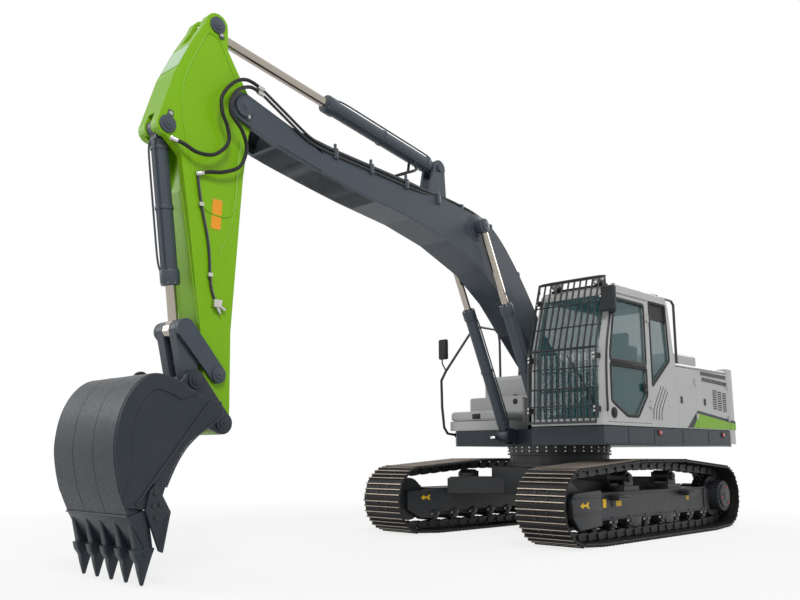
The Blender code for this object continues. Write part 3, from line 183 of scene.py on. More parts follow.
def noise(tree, coords, scale, detail=3.0, roughness=0.55):
    made = tree.nodes.new("ShaderNodeTexNoise")
    socket(made, "Scale", scale)
    socket(made, "Detail", detail)
    socket(made, "Roughness", roughness)
    link(tree, coords, made.inputs["Vector"])
    return made.outputs["Fac"]


def between(tree, factor, low, high, out_low, out_high):
    """Stretches a factor from low..high to out_low..out_high."""
    made = tree.nodes.new("ShaderNodeMapRange")
    for name, value in (("From Min", low), ("From Max", high), ("To Min", out_low), ("To Max", out_high)):
        socket(made, name, value)
    link(tree, factor, made.inputs["Value"])
    return made.outputs["Result"]


def mixed(tree, factor, colour_a, colour_b):
    """Mixes two colours, each a socket or an RGB value."""
    made = tree.nodes.new("ShaderNodeMix")
    made.data_type = "RGBA"
    link(tree, factor, made.inputs["Factor"])
    for name, value in (("A", colour_a), ("B", colour_b)):
        inlet = [s for s in made.inputs if s.name == name and s.type == "RGBA"][0]
        if isinstance(value, (tuple, list)):
            inlet.default_value = (*value, 1.0)
        else:
            link(tree, value, inlet)
    return [s for s in made.outputs if s.type == "RGBA"][0]


def finish(name, colour, dusty, rough=(0.32, 0.48), metallic=0.0, coat=0.0, dust=0.25, grain=(220.0, 0.04),
           patch=2.2, shine=0.28):
    """A finish: its colour, the colour that dust or wear turns it to, and how rough and dimpled it is."""
    made = bpy.data.materials.new(name)
    made.use_nodes = True
    tree = made.node_tree
    shader = tree.nodes["Principled BSDF"]
    coords = tree.nodes.new("ShaderNodeTexCoord").outputs["Object"]
    broad = noise(tree, coords, patch, 5.0, 0.6)
    fine = noise(tree, coords, 38.0, 4.0, 0.65)
    cover = between(tree, broad, 0.35, 0.75, 0.0, dust)
    shade = mixed(tree, cover, colour, dusty)
    darker = tuple(c * 0.82 for c in colour)
    link(tree, mixed(tree, between(tree, fine, 0.45, 0.75, 0.0, 0.35), shade, darker), shader.inputs["Base Color"])
    link(tree, between(tree, fine, 0.3, 0.7, *rough), shader.inputs["Roughness"])
    bump = tree.nodes.new("ShaderNodeBump")
    socket(bump, "Strength", grain[1])
    socket(bump, "Distance", 0.002)
    link(tree, noise(tree, coords, grain[0], 2.0), bump.inputs["Height"])
    link(tree, bump.outputs["Normal"], shader.inputs["Normal"])
    socket(shader, "Metallic", metallic)
    socket(shader, "Coat Weight", coat)
    socket(shader, "Specular IOR Level", shine)
    socket(shader, "Coat Roughness", 0.12)
    return made


FINISH = {
    "dark_paint": finish("dark_paint", (0.050, 0.064, 0.080), (0.080, 0.094, 0.108), (0.34, 0.46), coat=0.10),
    "lime_paint": finish("lime_paint", (0.200, 0.445, 0.001), (0.225, 0.430, 0.003), (0.34, 0.48), coat=0.08),
    "grey_paint": finish("grey_paint", (0.53, 0.53, 0.52), (0.46, 0.46, 0.44), (0.34, 0.46), coat=0.10, dust=0.35),
    "navy_paint": finish("navy_paint", (0.020, 0.028, 0.038), (0.045, 0.050, 0.056), (0.38, 0.52), coat=0.08),
    "bucket_paint": finish("bucket_paint", (0.015, 0.022, 0.031), (0.038, 0.043, 0.048), (0.36, 0.52), coat=0.06,
                           dust=0.5, grain=(120.0, 0.06), shine=0.30),
    "black_steel": finish("black_steel", (0.017, 0.019, 0.022), (0.045, 0.044, 0.042), (0.36, 0.54), dust=0.4, shine=0.45),
    "track_steel": finish("track_steel", (0.011, 0.011, 0.011), (0.028, 0.025, 0.022), (0.40, 0.58), dust=0.5,
                          grain=(90.0, 0.25), patch=6.0),
    "worn_steel": finish("worn_steel", (0.52, 0.44, 0.36), (0.34, 0.28, 0.22), (0.30, 0.50), metallic=0.6, dust=0.7,
                         grain=(140.0, 0.2), patch=14.0),
    "chrome": finish("chrome", (0.40, 0.36, 0.31), (0.33, 0.29, 0.25), (0.12, 0.20), metallic=1.0, dust=0.3,
                     grain=(300.0, 0.01)),
    "bright_steel": finish("bright_steel", (0.55, 0.54, 0.52), (0.40, 0.38, 0.35), (0.22, 0.38), metallic=1.0),
    "rubber": finish("rubber", (0.012, 0.012, 0.013), (0.035, 0.034, 0.033), (0.48, 0.66), grain=(400.0, 0.10)),
    "trim": finish("trim", (0.020, 0.021, 0.023), (0.045, 0.045, 0.045), (0.45, 0.60), grain=(350.0, 0.15)),
    "iron": finish("iron", (0.060, 0.058, 0.055), (0.10, 0.09, 0.08), (0.5, 0.7), grain=(160.0, 0.2)),
    "amber_sign": finish("amber_sign", (0.85, 0.33, 0.02), (0.75, 0.30, 0.04), (0.35, 0.45)),
    "yellow_mark": finish("yellow_mark", (0.85, 0.52, 0.02), (0.72, 0.45, 0.05), (0.35, 0.5)),
    "lamp_red": finish("lamp_red", (0.60, 0.015, 0.012), (0.5, 0.02, 0.02), (0.15, 0.25), coat=0.8),
    # A lighter lime that paints the sky's highlight on the arm's top face.
    "arm_painted_sheen": finish("arm_painted_sheen", (0.42, 0.62, 0.36), (0.38, 0.58, 0.32), (0.22, 0.34)),
    "lamp_lens": finish("lamp_lens", (0.75, 0.77, 0.80), (0.7, 0.72, 0.75), (0.08, 0.15), metallic=0.6, coat=0.8),
}

glass = finish("glass", (0.045, 0.155, 0.165), (0.07, 0.20, 0.21), (0.02, 0.05), grain=(2.0, 0.004))
socket(glass.node_tree.nodes["Principled BSDF"], "Alpha", 0.40)
socket(glass.node_tree.nodes["Principled BSDF"], "Coat Weight", 0.8)
socket(glass.node_tree.nodes["Principled BSDF"], "Coat Roughness", 0.02)
FINISH["glass"] = glass
print(len(FINISH), "finishes")

# %% [markdown]
# Each solid of the model keeps its shape and takes the finish that its record names. The bucket
# and its teeth get a duller paint of their own, because soil polishes and scratches them.

# %% Dress the solids
BUCKET_NODES = ("bucket_shell", "bucket_cutting_edge", "side_cutter_left", "side_cutter_right")
for row in frame["record"]["subparts"]:
    node = nodes[row["node"]]
    chosen = "bucket_paint" if row["node"] in BUCKET_NODES else row["material_slot"]
    node.data.materials.clear()
    node.data.materials.append(FINISH[chosen])

# %% [markdown]
# Every added piece is modelled with the same few moves that a hand makes: a block or a rod is put
# in place and its edges broken, an outline is drawn by extruding one point along it and then
# pulled to a thickness, and what repeats is copied. These helpers hold those moves.

# %% Modelling helpers
TAU = 2 * math.pi


def alone(piece):
    """Selects one piece and makes it the active one."""
    bpy.ops.object.select_all(action="DESELECT")
    piece.select_set(True)
    bpy.context.view_layer.objects.active = piece
    return piece


def named(name):
    """Names the piece just added, and puts its place into its mesh."""
    piece = bpy.context.object
    piece.name = name
    bpy.ops.object.transform_apply(location=True, rotation=True, scale=True)
    return piece


def applied(piece, kind, **settings):
    """Adds a modifier with its settings and applies it."""
    alone(piece)
    modifier = piece.modifiers.new(kind.lower(), kind)
    for name, value in settings.items():
        setattr(modifier, name, value)
    bpy.ops.object.modifier_apply(modifier=modifier.name)
    return piece


def broken(piece, width=0.004, steps=2, angle=35):
    """Breaks the sharp edges of a piece."""
    return applied(piece, "BEVEL", width=width, segments=steps, limit_method="ANGLE",
                   angle_limit=math.radians(angle), harden_normals=False)


def block(name, low, high, edge=0.004, steps=2):
    bpy.ops.object.select_all(action="DESELECT")
    middle = [(a + b) / 2 for a, b in zip(low, high)]
    bpy.ops.mesh.primitive_cube_add(size=1.0, location=middle, scale=[b - a for a, b in zip(low, high)])
    piece = named(name)
    return broken(piece, edge, steps) if edge else piece


def rod(name, start, end, radius, sides=16, edge=0.0, end_radius=None):
    """A rod, or a cone where the radius at its end differs."""
    bpy.ops.object.select_all(action="DESELECT")
    start, end = Vector(start), Vector(end)
    turn = (end - start).to_track_quat("Z", "Y").to_euler()
    bpy.ops.mesh.primitive_cone_add(vertices=sides, radius1=radius, depth=(end - start).length,
                                    radius2=radius if end_radius is None else end_radius,
                                    location=(start + end) / 2, rotation=turn)
    piece = named(name)
    return broken(piece, edge, 2, 50) if edge else piece


def span(name, x, y, z, edge=0.004, steps=2):
    """A block from its spans along X, Y and Z, given in any order."""
    return block(name, [min(s) for s in (x, y, z)], [max(s) for s in (x, y, z)], edge, steps)


def ball(name, centre, radius, squash=(1.0, 1.0, 1.0)):
    bpy.ops.object.select_all(action="DESELECT")
    bpy.ops.mesh.primitive_uv_sphere_add(segments=20, ring_count=10, radius=radius, location=centre, scale=squash)
    return named(name)


def drawn(name, points, pull, edge=0.0, steps=2):
    """A flat outline drawn point by point, filled, and pulled to a thickness."""
    bpy.ops.object.select_all(action="DESELECT")
    bpy.ops.mesh.primitive_plane_add(size=0.01, location=points[0])
    bpy.ops.object.mode_set(mode="EDIT")
    bpy.ops.mesh.select_all(action="SELECT")
    bpy.ops.mesh.merge(type="CENTER")
    for a, b in zip(points, points[1:]):
        step = [q - p for p, q in zip(a, b)]
        bpy.ops.mesh.extrude_vertices_move(TRANSFORM_OT_translate={"value": step})
    bpy.ops.mesh.select_all(action="SELECT")
    bpy.ops.mesh.edge_face_add()
    bpy.ops.mesh.extrude_region_move(TRANSFORM_OT_translate={"value": pull})
    bpy.ops.mesh.select_all(action="SELECT")
    bpy.ops.mesh.normals_make_consistent(inside=False)
    bpy.ops.object.mode_set(mode="OBJECT")
    piece = named(name)
    return broken(piece, edge, steps) if edge else piece


def side_plate(name, outline, x_low, x_high, edge=0.0, steps=2):
    """A plate that stands fore and aft, from an outline in (y, z)."""
    points = [(x_low, y, z) for y, z in outline]
    return drawn(name, points, (x_high - x_low, 0.0, 0.0), edge, steps)


def tube(name, points, radius, sides=10, closed=False):
    """A round tube along points, drawn as a smooth curve and made a mesh."""
    curve = bpy.data.curves.new(name, "CURVE")
    curve.dimensions = "3D"
    curve.bevel_depth = radius
    curve.bevel_resolution = max(1, sides // 4)
    curve.use_fill_caps = True
    curve.resolution_u = 5
    spline = curve.splines.new("NURBS")
    spline.points.add(len(points) - 1)
    for point, place in zip(spline.points, points):
        point.co = (*place, 1.0)
    spline.order_u = 4
    spline.use_endpoint_u = not closed
    spline.use_cyclic_u = closed
    piece = bpy.data.objects.new(name, curve)
    bpy.context.scene.collection.objects.link(piece)
    alone(piece)
    bpy.ops.object.convert(target="MESH")
    bpy.ops.object.mode_set(mode="EDIT")
    bpy.ops.mesh.select_all(action="SELECT")
    bpy.ops.mesh.remove_doubles(threshold=0.00005)
    bpy.ops.mesh.normals_make_consistent(inside=False)
    bpy.ops.object.mode_set(mode="OBJECT")
    return piece


def copied(piece, matrix):
    """A copy with a mesh of its own, moved by a matrix."""
    made = piece.copy()
    made.data = piece.data.copy()
    made.data.transform(matrix)
    bpy.context.scene.collection.objects.link(made)
    return made


def joined(name, pieces):
    bpy.ops.object.select_all(action="DESELECT")
    for piece in pieces:
        piece.select_set(True)
    bpy.context.view_layer.objects.active = pieces[0]
    if len(pieces) > 1:
        bpy.ops.object.join()
    pieces[0].name = name
    return pieces[0]


def mirrored(piece):
    """A copy on the machine's other side."""
    made = copied(piece, Matrix.Scale(-1.0, 4, Vector((1.0, 0.0, 0.0))))
    made.data.flip_normals()
    return made


def painted(piece, *finishes):
    piece.data.materials.clear()
    for name in finishes:
        piece.data.materials.append(FINISH[name])
    return piece


def done(piece, body, smooth=35, stands_for=()):
    """Smooths a finished piece, lets it ride on its body and says whose place it takes."""
    alone(piece)
    bpy.ops.object.shade_smooth_by_angle(angle=math.radians(smooth))
    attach(piece, body)
    if stands_for:
        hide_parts(*stands_for)
    return piece


def bolt_head(name, place, direction, radius=0.014):
    """A six-sided head on its washer, facing a direction."""
    out = Vector(direction).normalized()
    place = Vector(place)
    washer = rod(name, place - out * 0.002, place + out * radius * 0.25, radius * 1.25, 16)
    head = rod(name, place + out * radius * 0.2, place + out * radius * 0.9, radius, 6)
    return joined(name, [washer, broken(head, radius * 0.12, 1)])


def bolt_set(name, places, direction, radius, finish_name, body):
    """A set of bolt heads: one is modelled and the others are its copies."""
    first = bolt_head(name, (0.0, 0.0, 0.0), direction, radius)
    copies = [copied(first, Matrix.Translation(Vector(place))) for place in places]
    bpy.data.objects.remove(first, do_unlink=True)
    return done(painted(joined(name, copies), finish_name), body)


def sw(y):
    """A place along Y measured from the swing centre."""
    return y + SWING


def smoothed(points, share=4):
    """A smooth line through an open run of points, of any number of coordinates."""
    ends = [points[0], *points, points[-1]]
    line = []
    for p0, p1, p2, p3 in zip(ends, ends[1:], ends[2:], ends[3:]):
        for step in range(share):
            t = step / share
            line.append(tuple(0.5 * (2 * b + (c - a) * t + (2 * a - 5 * b + 4 * c - d) * t * t
                                     + (3 * b - a - 3 * c + d) * t ** 3)
                              for a, b, c, d in zip(p0, p1, p2, p3)))
    return line + [tuple(points[-1])]


def arc(y, z, radius, start, end, steps=8):
    turns = [math.radians(start + (end - start) * k / steps) for k in range(steps + 1)]
    return [(y + radius * math.cos(t), z + radius * math.sin(t)) for t in turns]


print("helpers ready")

# %% [markdown]
# A track is a chain of links with a steel shoe bolted to each. A shoe is a rolled plate with
# three low ribs across it, and its ends and rib tips are rubbed bright by the ground. One shoe is
# modelled lying flat, and copies of it are laid along the line that the chain takes round the
# idler, the sprocket and the two rollers on top.

# %% The track's line
GAUGE, SHOE_WIDTH = 2.30, 0.60
WHEELBASE, WHEEL_Z, BELT_RADIUS = 3.49, 0.42, 0.40
TRACK_TOP, GROUND_RUN = 0.905, 2.76
CARRIERS = (-0.485, 0.585)
SHOES = 47
RIB, PLATE = 0.022, 0.014


def belt_line(depth, steps=36):
    """The track's closed line at a depth inside the rib tips, in (y, z)."""
    half, radius = WHEELBASE / 2, BELT_RADIUS - depth
    front = [(-half - y, WHEEL_Z + z) for y, z in arc(0, 0, radius, -87, 86, steps)]
    rear = [(half + y, WHEEL_Z + z) for y, z in arc(0, 0, radius, 86, -87, steps)]
    top = [(y, TRACK_TOP - depth) for y in CARRIERS]
    return front + top + rear + [(GROUND_RUN / 2, depth), (-GROUND_RUN / 2, depth)]


def stations(line, count, start=0.5):
    """Evenly spaced places on a closed line, each with the direction there."""
    steps = [(a, b, math.dist(a, b)) for a, b in zip(line, line[1:] + line[:1])]
    pitch = sum(length for _, _, length in steps) / count
    found, run, wanted = [], 0.0, start * pitch
    for a, b, length in steps:
        while run + length > wanted and len(found) < count:
            share = (wanted - run) / length
            place = (a[0] + (b[0] - a[0]) * share, a[1] + (b[1] - a[1]) * share)
            found.append((place, math.atan2(b[1] - a[1], b[0] - a[0])))
            wanted += pitch
        run += length
    return found, pitch


line = belt_line(RIB)
places, pitch = stations(line, SHOES)
print(SHOES, "shoes", round(pitch, 4), "m apart")

# %% [markdown]
# The shoe's section is one outline: a thin plate whose front edge laps over the next shoe, with
# three ribs. It is pulled to the shoe's width. The rib tips take the worn steel of the second slot,
# and the edges are broken afterwards, so the bright line along each rib has a soft border.

# %% One shoe
def shoe(length):
    half = length / 2 - 0.002
    section = [(-half - 0.016, -PLATE - 0.007), (-half * 0.7, -PLATE), (half, -PLATE), (half, -0.002)]
    for middle in (half * 0.66, 0.0, -half * 0.67):
        section += [(middle + 0.011, 0.0), (middle + 0.0055, RIB), (middle - 0.0055, RIB), (middle - 0.011, 0.0)]
    section += [(-half, 0.0), (-half - 0.016, -PLATE + 0.003)]
    body = side_plate("shoe", section, -SHOE_WIDTH / 2, SHOE_WIDTH / 2)
    painted(body, "track_steel", "worn_steel")
    for face in body.data.polygons:  # the ground rubs the rib tips bright
        if face.normal.z > 0.9 and face.center.z > RIB - 0.001:
            face.material_index = 1
    broken(body, 0.0016, 1, 50)
    heads = []
    for x in (-0.075, 0.075):
        for y in (-half * 0.34, half * 0.33):
            head = rod("head", (x, y, -0.002), (x, y, 0.010), 0.013, 6)
            heads.append(painted(head, "black_steel"))
    return joined("shoe", [body, *heads])


def links(length):
    """The two side links under a shoe, and the bush between them."""
    half, depth = length / 2, 0.100
    outline = [(-half * 1.18, -PLATE - 0.05), (-half * 0.8, -PLATE - 0.016), (half * 0.7, -PLATE),
               (half * 1.05, -PLATE - 0.03), (half * 1.18, -PLATE - 0.06), (half * 0.8, -PLATE - 0.088),
               (0.0, -PLATE - depth + 0.004), (-half * 0.8, -PLATE - depth + 0.004), (-half * 1.1, -PLATE - 0.080)]
    pieces = [side_plate("link", outline, side * 0.058, side * 0.084, 0.003, 1) for side in (-1, 1)]
    pieces.append(rod("bush", (-0.10, -half, -PLATE - 0.052), (0.10, -half, -PLATE - 0.052), 0.024, 12))
    return painted(joined("links", pieces), "black_steel")


first_shoe, first_links = shoe(pitch), links(pitch)
for side_name, side in (("left", 1), ("right", -1)):
    chain, shoes = [], []
    for (y, z), heading in places:
        place = Matrix.Translation((side * GAUGE / 2, sw(y), z))
        turn = Matrix.Rotation(heading, 4, "X")
        shoes.append(copied(first_shoe, place @ turn))
        chain.append(copied(first_links, place @ turn))
    done(joined(f"shoes_{side_name}", shoes), "undercarriage", stands_for=[f"track_{side_name}"])
    done(joined(f"chain_{side_name}", chain), "undercarriage")
    print("laid", len(shoes), "shoes on the", side_name)
for spare in (first_shoe, first_links):
    bpy.data.objects.remove(spare, do_unlink=True)

# %% [markdown]
# The two track frames carry the wheels. Each has a box girder with a cover over the idler's yoke,
# roller ends bolted under it, two brackets for the rollers on top, a step, and at the back the
# drive drum with its ring of bolts. They are near the ground, so they are black and dusty.

# %% Track frames
FRAME_HALF, FRAME_TOP, FRAME_LOW = 0.15, 0.54, 0.25
FRAME_FRONT, FRAME_REAR = -1.28, 1.40
ROLLERS, ROLLER_R, ROLLER_Z = 8, 0.08, 0.222


def yoke_cover(side):
    """The folded plate outside the idler, with two ridges pressed along it."""
    outline = [(-1.84, 0.30), (-1.86, 0.47), (-1.80, 0.56), (FRAME_FRONT, 0.58), (FRAME_FRONT, 0.20), (-1.72, 0.17)]
    x = side * (GAUGE / 2 + FRAME_HALF)
    face = side_plate("cover", [(sw(y), z) for y, z in outline], x, x + side * 0.07, 0.018, 3)
    pieces = [face]
    for z in (0.335, 0.505):
        pieces.append(span("ridge", (x + side * 0.06, x + side * 0.080), (sw(-1.83), sw(-1.29)), (z, z + 0.018), 0.006))
    return pieces


for side_name, side in (("left", 1), ("right", -1)):
    face = side * (GAUGE / 2 + FRAME_HALF)
    pieces = yoke_cover(side)
    pieces.append(span("lip", (face, face + side * 0.022), (sw(FRAME_FRONT), sw(FRAME_REAR)), (FRAME_TOP - 0.012, FRAME_TOP + 0.006)))
    pieces.append(span("lip", (face, face + side * 0.016), (sw(FRAME_FRONT), sw(FRAME_REAR)), (FRAME_LOW, FRAME_LOW + 0.016)))
    pieces.append(span("joint", (face, face + side * 0.012), (sw(FRAME_FRONT) - 0.01, sw(FRAME_FRONT) + 0.02), (0.21, 0.57)))
    pieces.append(span("joint", (face, face + side * 0.014), (sw(FRAME_REAR) - 0.05, sw(FRAME_REAR) - 0.01), (0.26, 0.55)))
    for y in (-0.90, 0.80):
        x0, x1 = face + side * 0.01, face + side * 0.13
        pieces.append(span("step", (x0, x1), (sw(y) - 0.13, sw(y) + 0.13), (0.495, 0.515), 0.005))
        for edge in (-0.125, 0.110):
            pieces.append(span("cheek", (x0, x1 - side * 0.02), (sw(y) + edge, sw(y) + edge + 0.015), (0.475, 0.512), 0.003))
    done(painted(joined(f"frame_covers_{side_name}", pieces), "black_steel"), "undercarriage")

    ends, bolts = [], []
    for k in range(ROLLERS):
        y = sw((k / (ROLLERS - 1) - 0.5) * (GROUND_RUN - 0.12))
        for way in (-1, 1):
            x = side * GAUGE / 2 + way * (FRAME_HALF - 0.01)
            ends.append(rod("end", (x, y, ROLLER_Z), (x + way * 0.022, y, ROLLER_Z), 0.062, 16, 0.008))
            ends.append(rod("stub", (x + way * 0.015, y, ROLLER_Z), (x + way * 0.032, y, ROLLER_Z), 0.024, 12, 0.004))
            ends.append(span("foot", (x - way * 0.03, x + way * 0.026), (y - 0.075, y + 0.075), (0.235, 0.262), 0.005))
            bolts += [((x + way * 0.010, y + off, 0.232), way) for off in (-0.062, 0.062)]
    for y in (-0.44, 0.36):
        x = side * GAUGE / 2 + side * (FRAME_HALF - 0.005)
        outline = [(sw(y) - 0.12, 0.26), (sw(y) + 0.12, 0.26), (sw(y) + 0.09, 0.15), (sw(y) - 0.09, 0.15)]
        ends.append(side_plate("guard", outline, x, x + side * 0.02, 0.006))
    done(painted(joined(f"roller_ends_{side_name}", ends), "black_steel"), "undercarriage")
    heads = []
    for (x, y, z), way in bolts:
        heads.append(rod("head", (x, y, z + 0.004), (x, y, z - 0.016), 0.012, 6))
    done(painted(joined(f"roller_bolts_{side_name}", heads), "worn_steel"), "undercarriage")

    tops = []
    for y in CARRIERS:
        for way in (-1, 1):
            tops.append(span("cheek", (side * GAUGE / 2 + way * 0.09, side * GAUGE / 2 + way * 0.105),
                             (sw(y) - 0.10, sw(y) + 0.10), (0.53, 0.66), 0.004))
        x = side * GAUGE / 2
        tops.append(rod("cap", (x + side * 0.09, sw(y), 0.694), (x + side * 0.135, sw(y), 0.694), 0.048, 18, 0.010))
        tops.append(rod("rim", (x + side * 0.05, sw(y), 0.694), (x + side * 0.085, sw(y), 0.694), 0.074, 20, 0.006))
        tops.append(rod("cap", (x + side * 0.13, sw(y), 0.694), (x + side * 0.142, sw(y), 0.694), 0.018, 6))
    done(painted(joined(f"carrier_caps_{side_name}", tops), "black_steel"), "undercarriage")
print("track frames dressed")

# %% [markdown]
# The drive drum at the back wears a cover with a scalloped rim. Behind it the sprocket's teeth
# push on the chain's bushes. Arrow and block marks on the frames show which way is forward.

# %% Drive drum, sprocket teeth and marks
DRUM_X, DRUM_R = GAUGE / 2 + 0.25, 0.19
TEETH = 21


def toothed(radius_root, radius_tip, count, y, z):
    outline = []
    for k in range(count):
        for share, radius in ((0.0, radius_root), (0.30, radius_root), (0.42, radius_tip), (0.62, radius_tip), (0.74, radius_root)):
            turn = TAU * (k + share) / count
            outline.append((y + radius * math.cos(turn), z + radius * math.sin(turn)))
    return outline


ARROW = [(-0.090, 0.0), (-0.030, 0.034), (-0.030, 0.012), (0.035, 0.012), (0.055, 0.032), (0.088, 0.032), (0.066, 0.0),
         (0.088, -0.032), (0.055, -0.032), (0.035, -0.012), (-0.030, -0.012), (-0.030, -0.034)]


def arrow_at(y, z):
    return [(sw(y + a), z + b) for a, b in ARROW]


for side_name, side in (("left", 1), ("right", -1)):
    y, z, x = sw(WHEELBASE / 2), WHEEL_Z, side * DRUM_X
    cover = side_plate("cover", toothed(DRUM_R - 0.004, DRUM_R + 0.008, 24, y, z), x - side * 0.02, x + side * 0.006, 0.003, 1)
    dome = rod("dome", (x, y, z), (x + side * 0.026, y, z), DRUM_R - 0.045, 32, 0.012)
    hub = rod("hub", (x + side * 0.02, y, z), (x + side * 0.034, y, z), 0.05, 24, 0.006)
    teeth = side_plate("teeth", toothed(0.245, 0.292, TEETH, y, z), side * GAUGE / 2 - 0.035, side * GAUGE / 2 + 0.035, 0.004, 1)
    drive = joined(f"drive_{side_name}", [cover, dome, hub, teeth])
    done(painted(drive, "black_steel"), "undercarriage")
    ring = [(x + side * 0.004, y + 0.168 * math.cos(TAU * k / 18), z + 0.168 * math.sin(TAU * k / 18)) for k in range(18)]
    bolt_set(f"drive_bolts_{side_name}", ring, (side, 0, 0), 0.010, "black_steel", "undercarriage")
    plugs = [rod("plug", (x + side * 0.02, y + 0.115 * math.cos(t), z + 0.115 * math.sin(t)),
                 (x + side * 0.036, y + 0.115 * math.cos(t), z + 0.115 * math.sin(t)), 0.013, 6) for t in (1.2, 3.3, 5.4)]
    done(painted(joined(f"drive_plugs_{side_name}", plugs), "lamp_red"), "undercarriage")

    face = side * (GAUGE / 2 + FRAME_HALF)
    marks = [side_plate("arrow", arrow_at(-1.63, 0.43), face + side * 0.071, face + side * 0.0722)]
    for low, high, z0, z1 in ((-1.15, -1.08, 0.385, 0.475), (-0.87, -0.75, 0.39, 0.475), (0.86, 0.93, 0.40, 0.49)):
        marks.append(span("mark", (face, face + side * 0.0012), (sw(low), sw(high)), (z0, z1), 0))
    done(painted(joined(f"frame_marks_{side_name}", marks), "yellow_mark"), "undercarriage")
    # A dark rubber plate stands for a slot in the frame: painted shade for the dark inside the opening.
    slot_shade = span("slot", (face, face + side * 0.004), (sw(-0.98), sw(-0.93)), (0.385, 0.475), 0.0015, 1)
    done(painted(slot_shade, "rubber"), "undercarriage").name = f"frame_slot_shade_{side_name}"
inner = [side_plate("arrow", arrow_at(-1.50, 0.43), side * 0.999, side * 0.9975) for side in (-1, 1)]
done(painted(joined("inner_marks", inner), "yellow_mark"), "undercarriage")

# %% [markdown]
# The swing ring sits on the car body between two rows of bright bolts. The car body's top plate
# and the legs to the track frames are welded plates, so thin seams and a flange are added to them.

# %% Swing ring and car body
RING_R = 0.655
for row, z in (("low", 1.000), ("high", 1.046)):
    heads = []
    for k in range(36):
        t = TAU * k / 36
        out = Vector((math.cos(t), math.sin(t), 0.0))
        place = Vector((0.0, SWING, z)) + out * (RING_R - 0.004)
        heads.append(rod("head", place, place + out * 0.016, 0.011, 6))
    done(painted(joined(f"ring_bolts_{row}", heads), "bright_steel"), "upper" if row == "high" else "undercarriage")
bands = [rod("band", (0, SWING, z0), (0, SWING, z1), r, 48, 0.004) for z0, z1, r in ((0.95, 0.975, 0.668), (0.80, 0.83, 0.662))]
done(painted(joined("ring_bands", bands), "black_steel"), "undercarriage")
seams = []
for x in (-1, 1):
    for y in (-1, 1):
        leg = [(x * 0.28, y * 0.24, 0.662), (x * 0.985, y * 0.64, 0.662), (x * 0.985, y * 1.06, 0.662), (x * 0.42, y * 0.64, 0.662)]
        seams.append(drawn("leg_top", [(a, sw(b), c) for a, b, c in leg], (0, 0, 0.014), 0.004))
done(painted(joined("leg_plates", seams), "black_steel"), "undercarriage")
print("undercarriage dressed")

# %% [markdown]
# Boom and arm are boxes welded from plate. Places on them are easiest to give along the member
# and above its line of pins, so two small functions turn such a place into the machine's frame.

# %% Places on the boom and the arm
FOOT = (SWING - 0.06, 1.75)
BOOM_LENGTH, BOOM_TILT = 5.70, math.radians(24.24)
ARM_LENGTH, ARM_TILT = 2.873, math.radians(-87.99)


def member(origin, tilt, along, up):
    return (origin[0] - along * math.cos(tilt) + up * math.sin(tilt),
            origin[1] + along * math.sin(tilt) + up * math.cos(tilt))


def on_boom(along, up):
    return member(FOOT, BOOM_TILT, along, up)


ELBOW = on_boom(BOOM_LENGTH, 0.0)


def on_arm(along, up):
    return member(ELBOW, ARM_TILT, along, up)


BUCKET_PIN = on_arm(ARM_LENGTH, 0.0)


def on_bucket(y, z):
    return (BUCKET_PIN[0] + y, BUCKET_PIN[1] + z)


print("elbow", [round(c, 3) for c in ELBOW], "bucket pin", [round(c, 3) for c in BUCKET_PIN])

# %% [markdown]
# The boom's outline is a long smooth gooseneck. Its side plates stand a little inside the edges
# of the top and bottom plates, which is what gives a welded box its crisp double edge. So the
# core is pulled from the outline, and the top and bottom plates are thin bands along it.

# %% The boom
BOOM_HALF, FORK_HALF = 0.20, 0.1555
BOOM_UNDER = [(0.10, -0.10), (0.566, 0.063), (1.109, 0.246), (1.616, 0.424), (2.149, 0.515), (2.835, 0.480),
              (3.425, 0.366), (4.12, 0.163), (4.66, 0.028), (5.23, -0.097), (5.60, -0.118)]
BOOM_OVER = [(5.75, 0.125), (5.166, 0.196), (4.60, 0.375), (3.565, 0.755), (2.774, 1.000), (2.500, 1.080), (2.248, 1.110),
             (1.980, 1.060), (1.580, 0.900), (1.182, 0.700), (0.55, 0.34), (0.05, 0.130)]


def band(name, line, x_half, thickness, inward, edge=0.003):
    """A plate that follows a line along the member, thickness towards its inside."""
    inner = []
    for k, here in enumerate(line):
        before, after = line[max(k - 1, 0)], line[min(k + 1, len(line) - 1)]
        run = Vector((after[0] - before[0], after[1] - before[1])).normalized()
        inner.append((here[0] - run.y * thickness * inward, here[1] + run.x * thickness * inward))
    outline = [on_boom(*p) for p in line + inner[::-1]]
    return side_plate(name, outline, -x_half, x_half, edge, 1)


def boom_side(name, outline, x_low, x_high, edge=0.003):
    return side_plate(name, [on_boom(*p) for p in outline], x_low, x_high, edge, 1)


under, over = smoothed(BOOM_UNDER, 4), smoothed(BOOM_OVER, 4)
foot = arc(0, 0, 0.138, 115, 285, 14)
tip_low = [p for p in under if p[0] < 5.24]
tip_high = [p for p in over if p[0] < 5.17]
core_outline = foot[:-1] + tip_low + [(5.25, 0.19)] + tip_high
core = boom_side("boom_core", core_outline, -BOOM_HALF + 0.012, BOOM_HALF - 0.012, 0.004)
pieces = [core, band("top", tip_high, BOOM_HALF, 0.016, 1), band("bottom", tip_low, BOOM_HALF, 0.016, 1)]
cheek_outline = ([(4.62, 0.045), (4.90, -0.025), (5.23, -0.097)] + arc(BOOM_LENGTH, 0, 0.134, -100, 82, 18)
                 + [(5.45, 0.155), (5.166, 0.192), (4.95, 0.268), (4.75, 0.22)])
for side in (-1, 1):
    pieces.append(boom_side("cheek", cheek_outline, side * FORK_HALF, side * (BOOM_HALF + 0.001), 0.005))
    ring = [on_boom(a, b) for a, b in arc(0, 0, 0.132, 0, 345, 23)]
    pieces.append(side_plate("foot_boss", ring, side * (BOOM_HALF - 0.02), side * BOOM_HALF, 0.004, 1))
boom = joined("boom_body", pieces)
done(painted(boom, "dark_paint"), "boom")


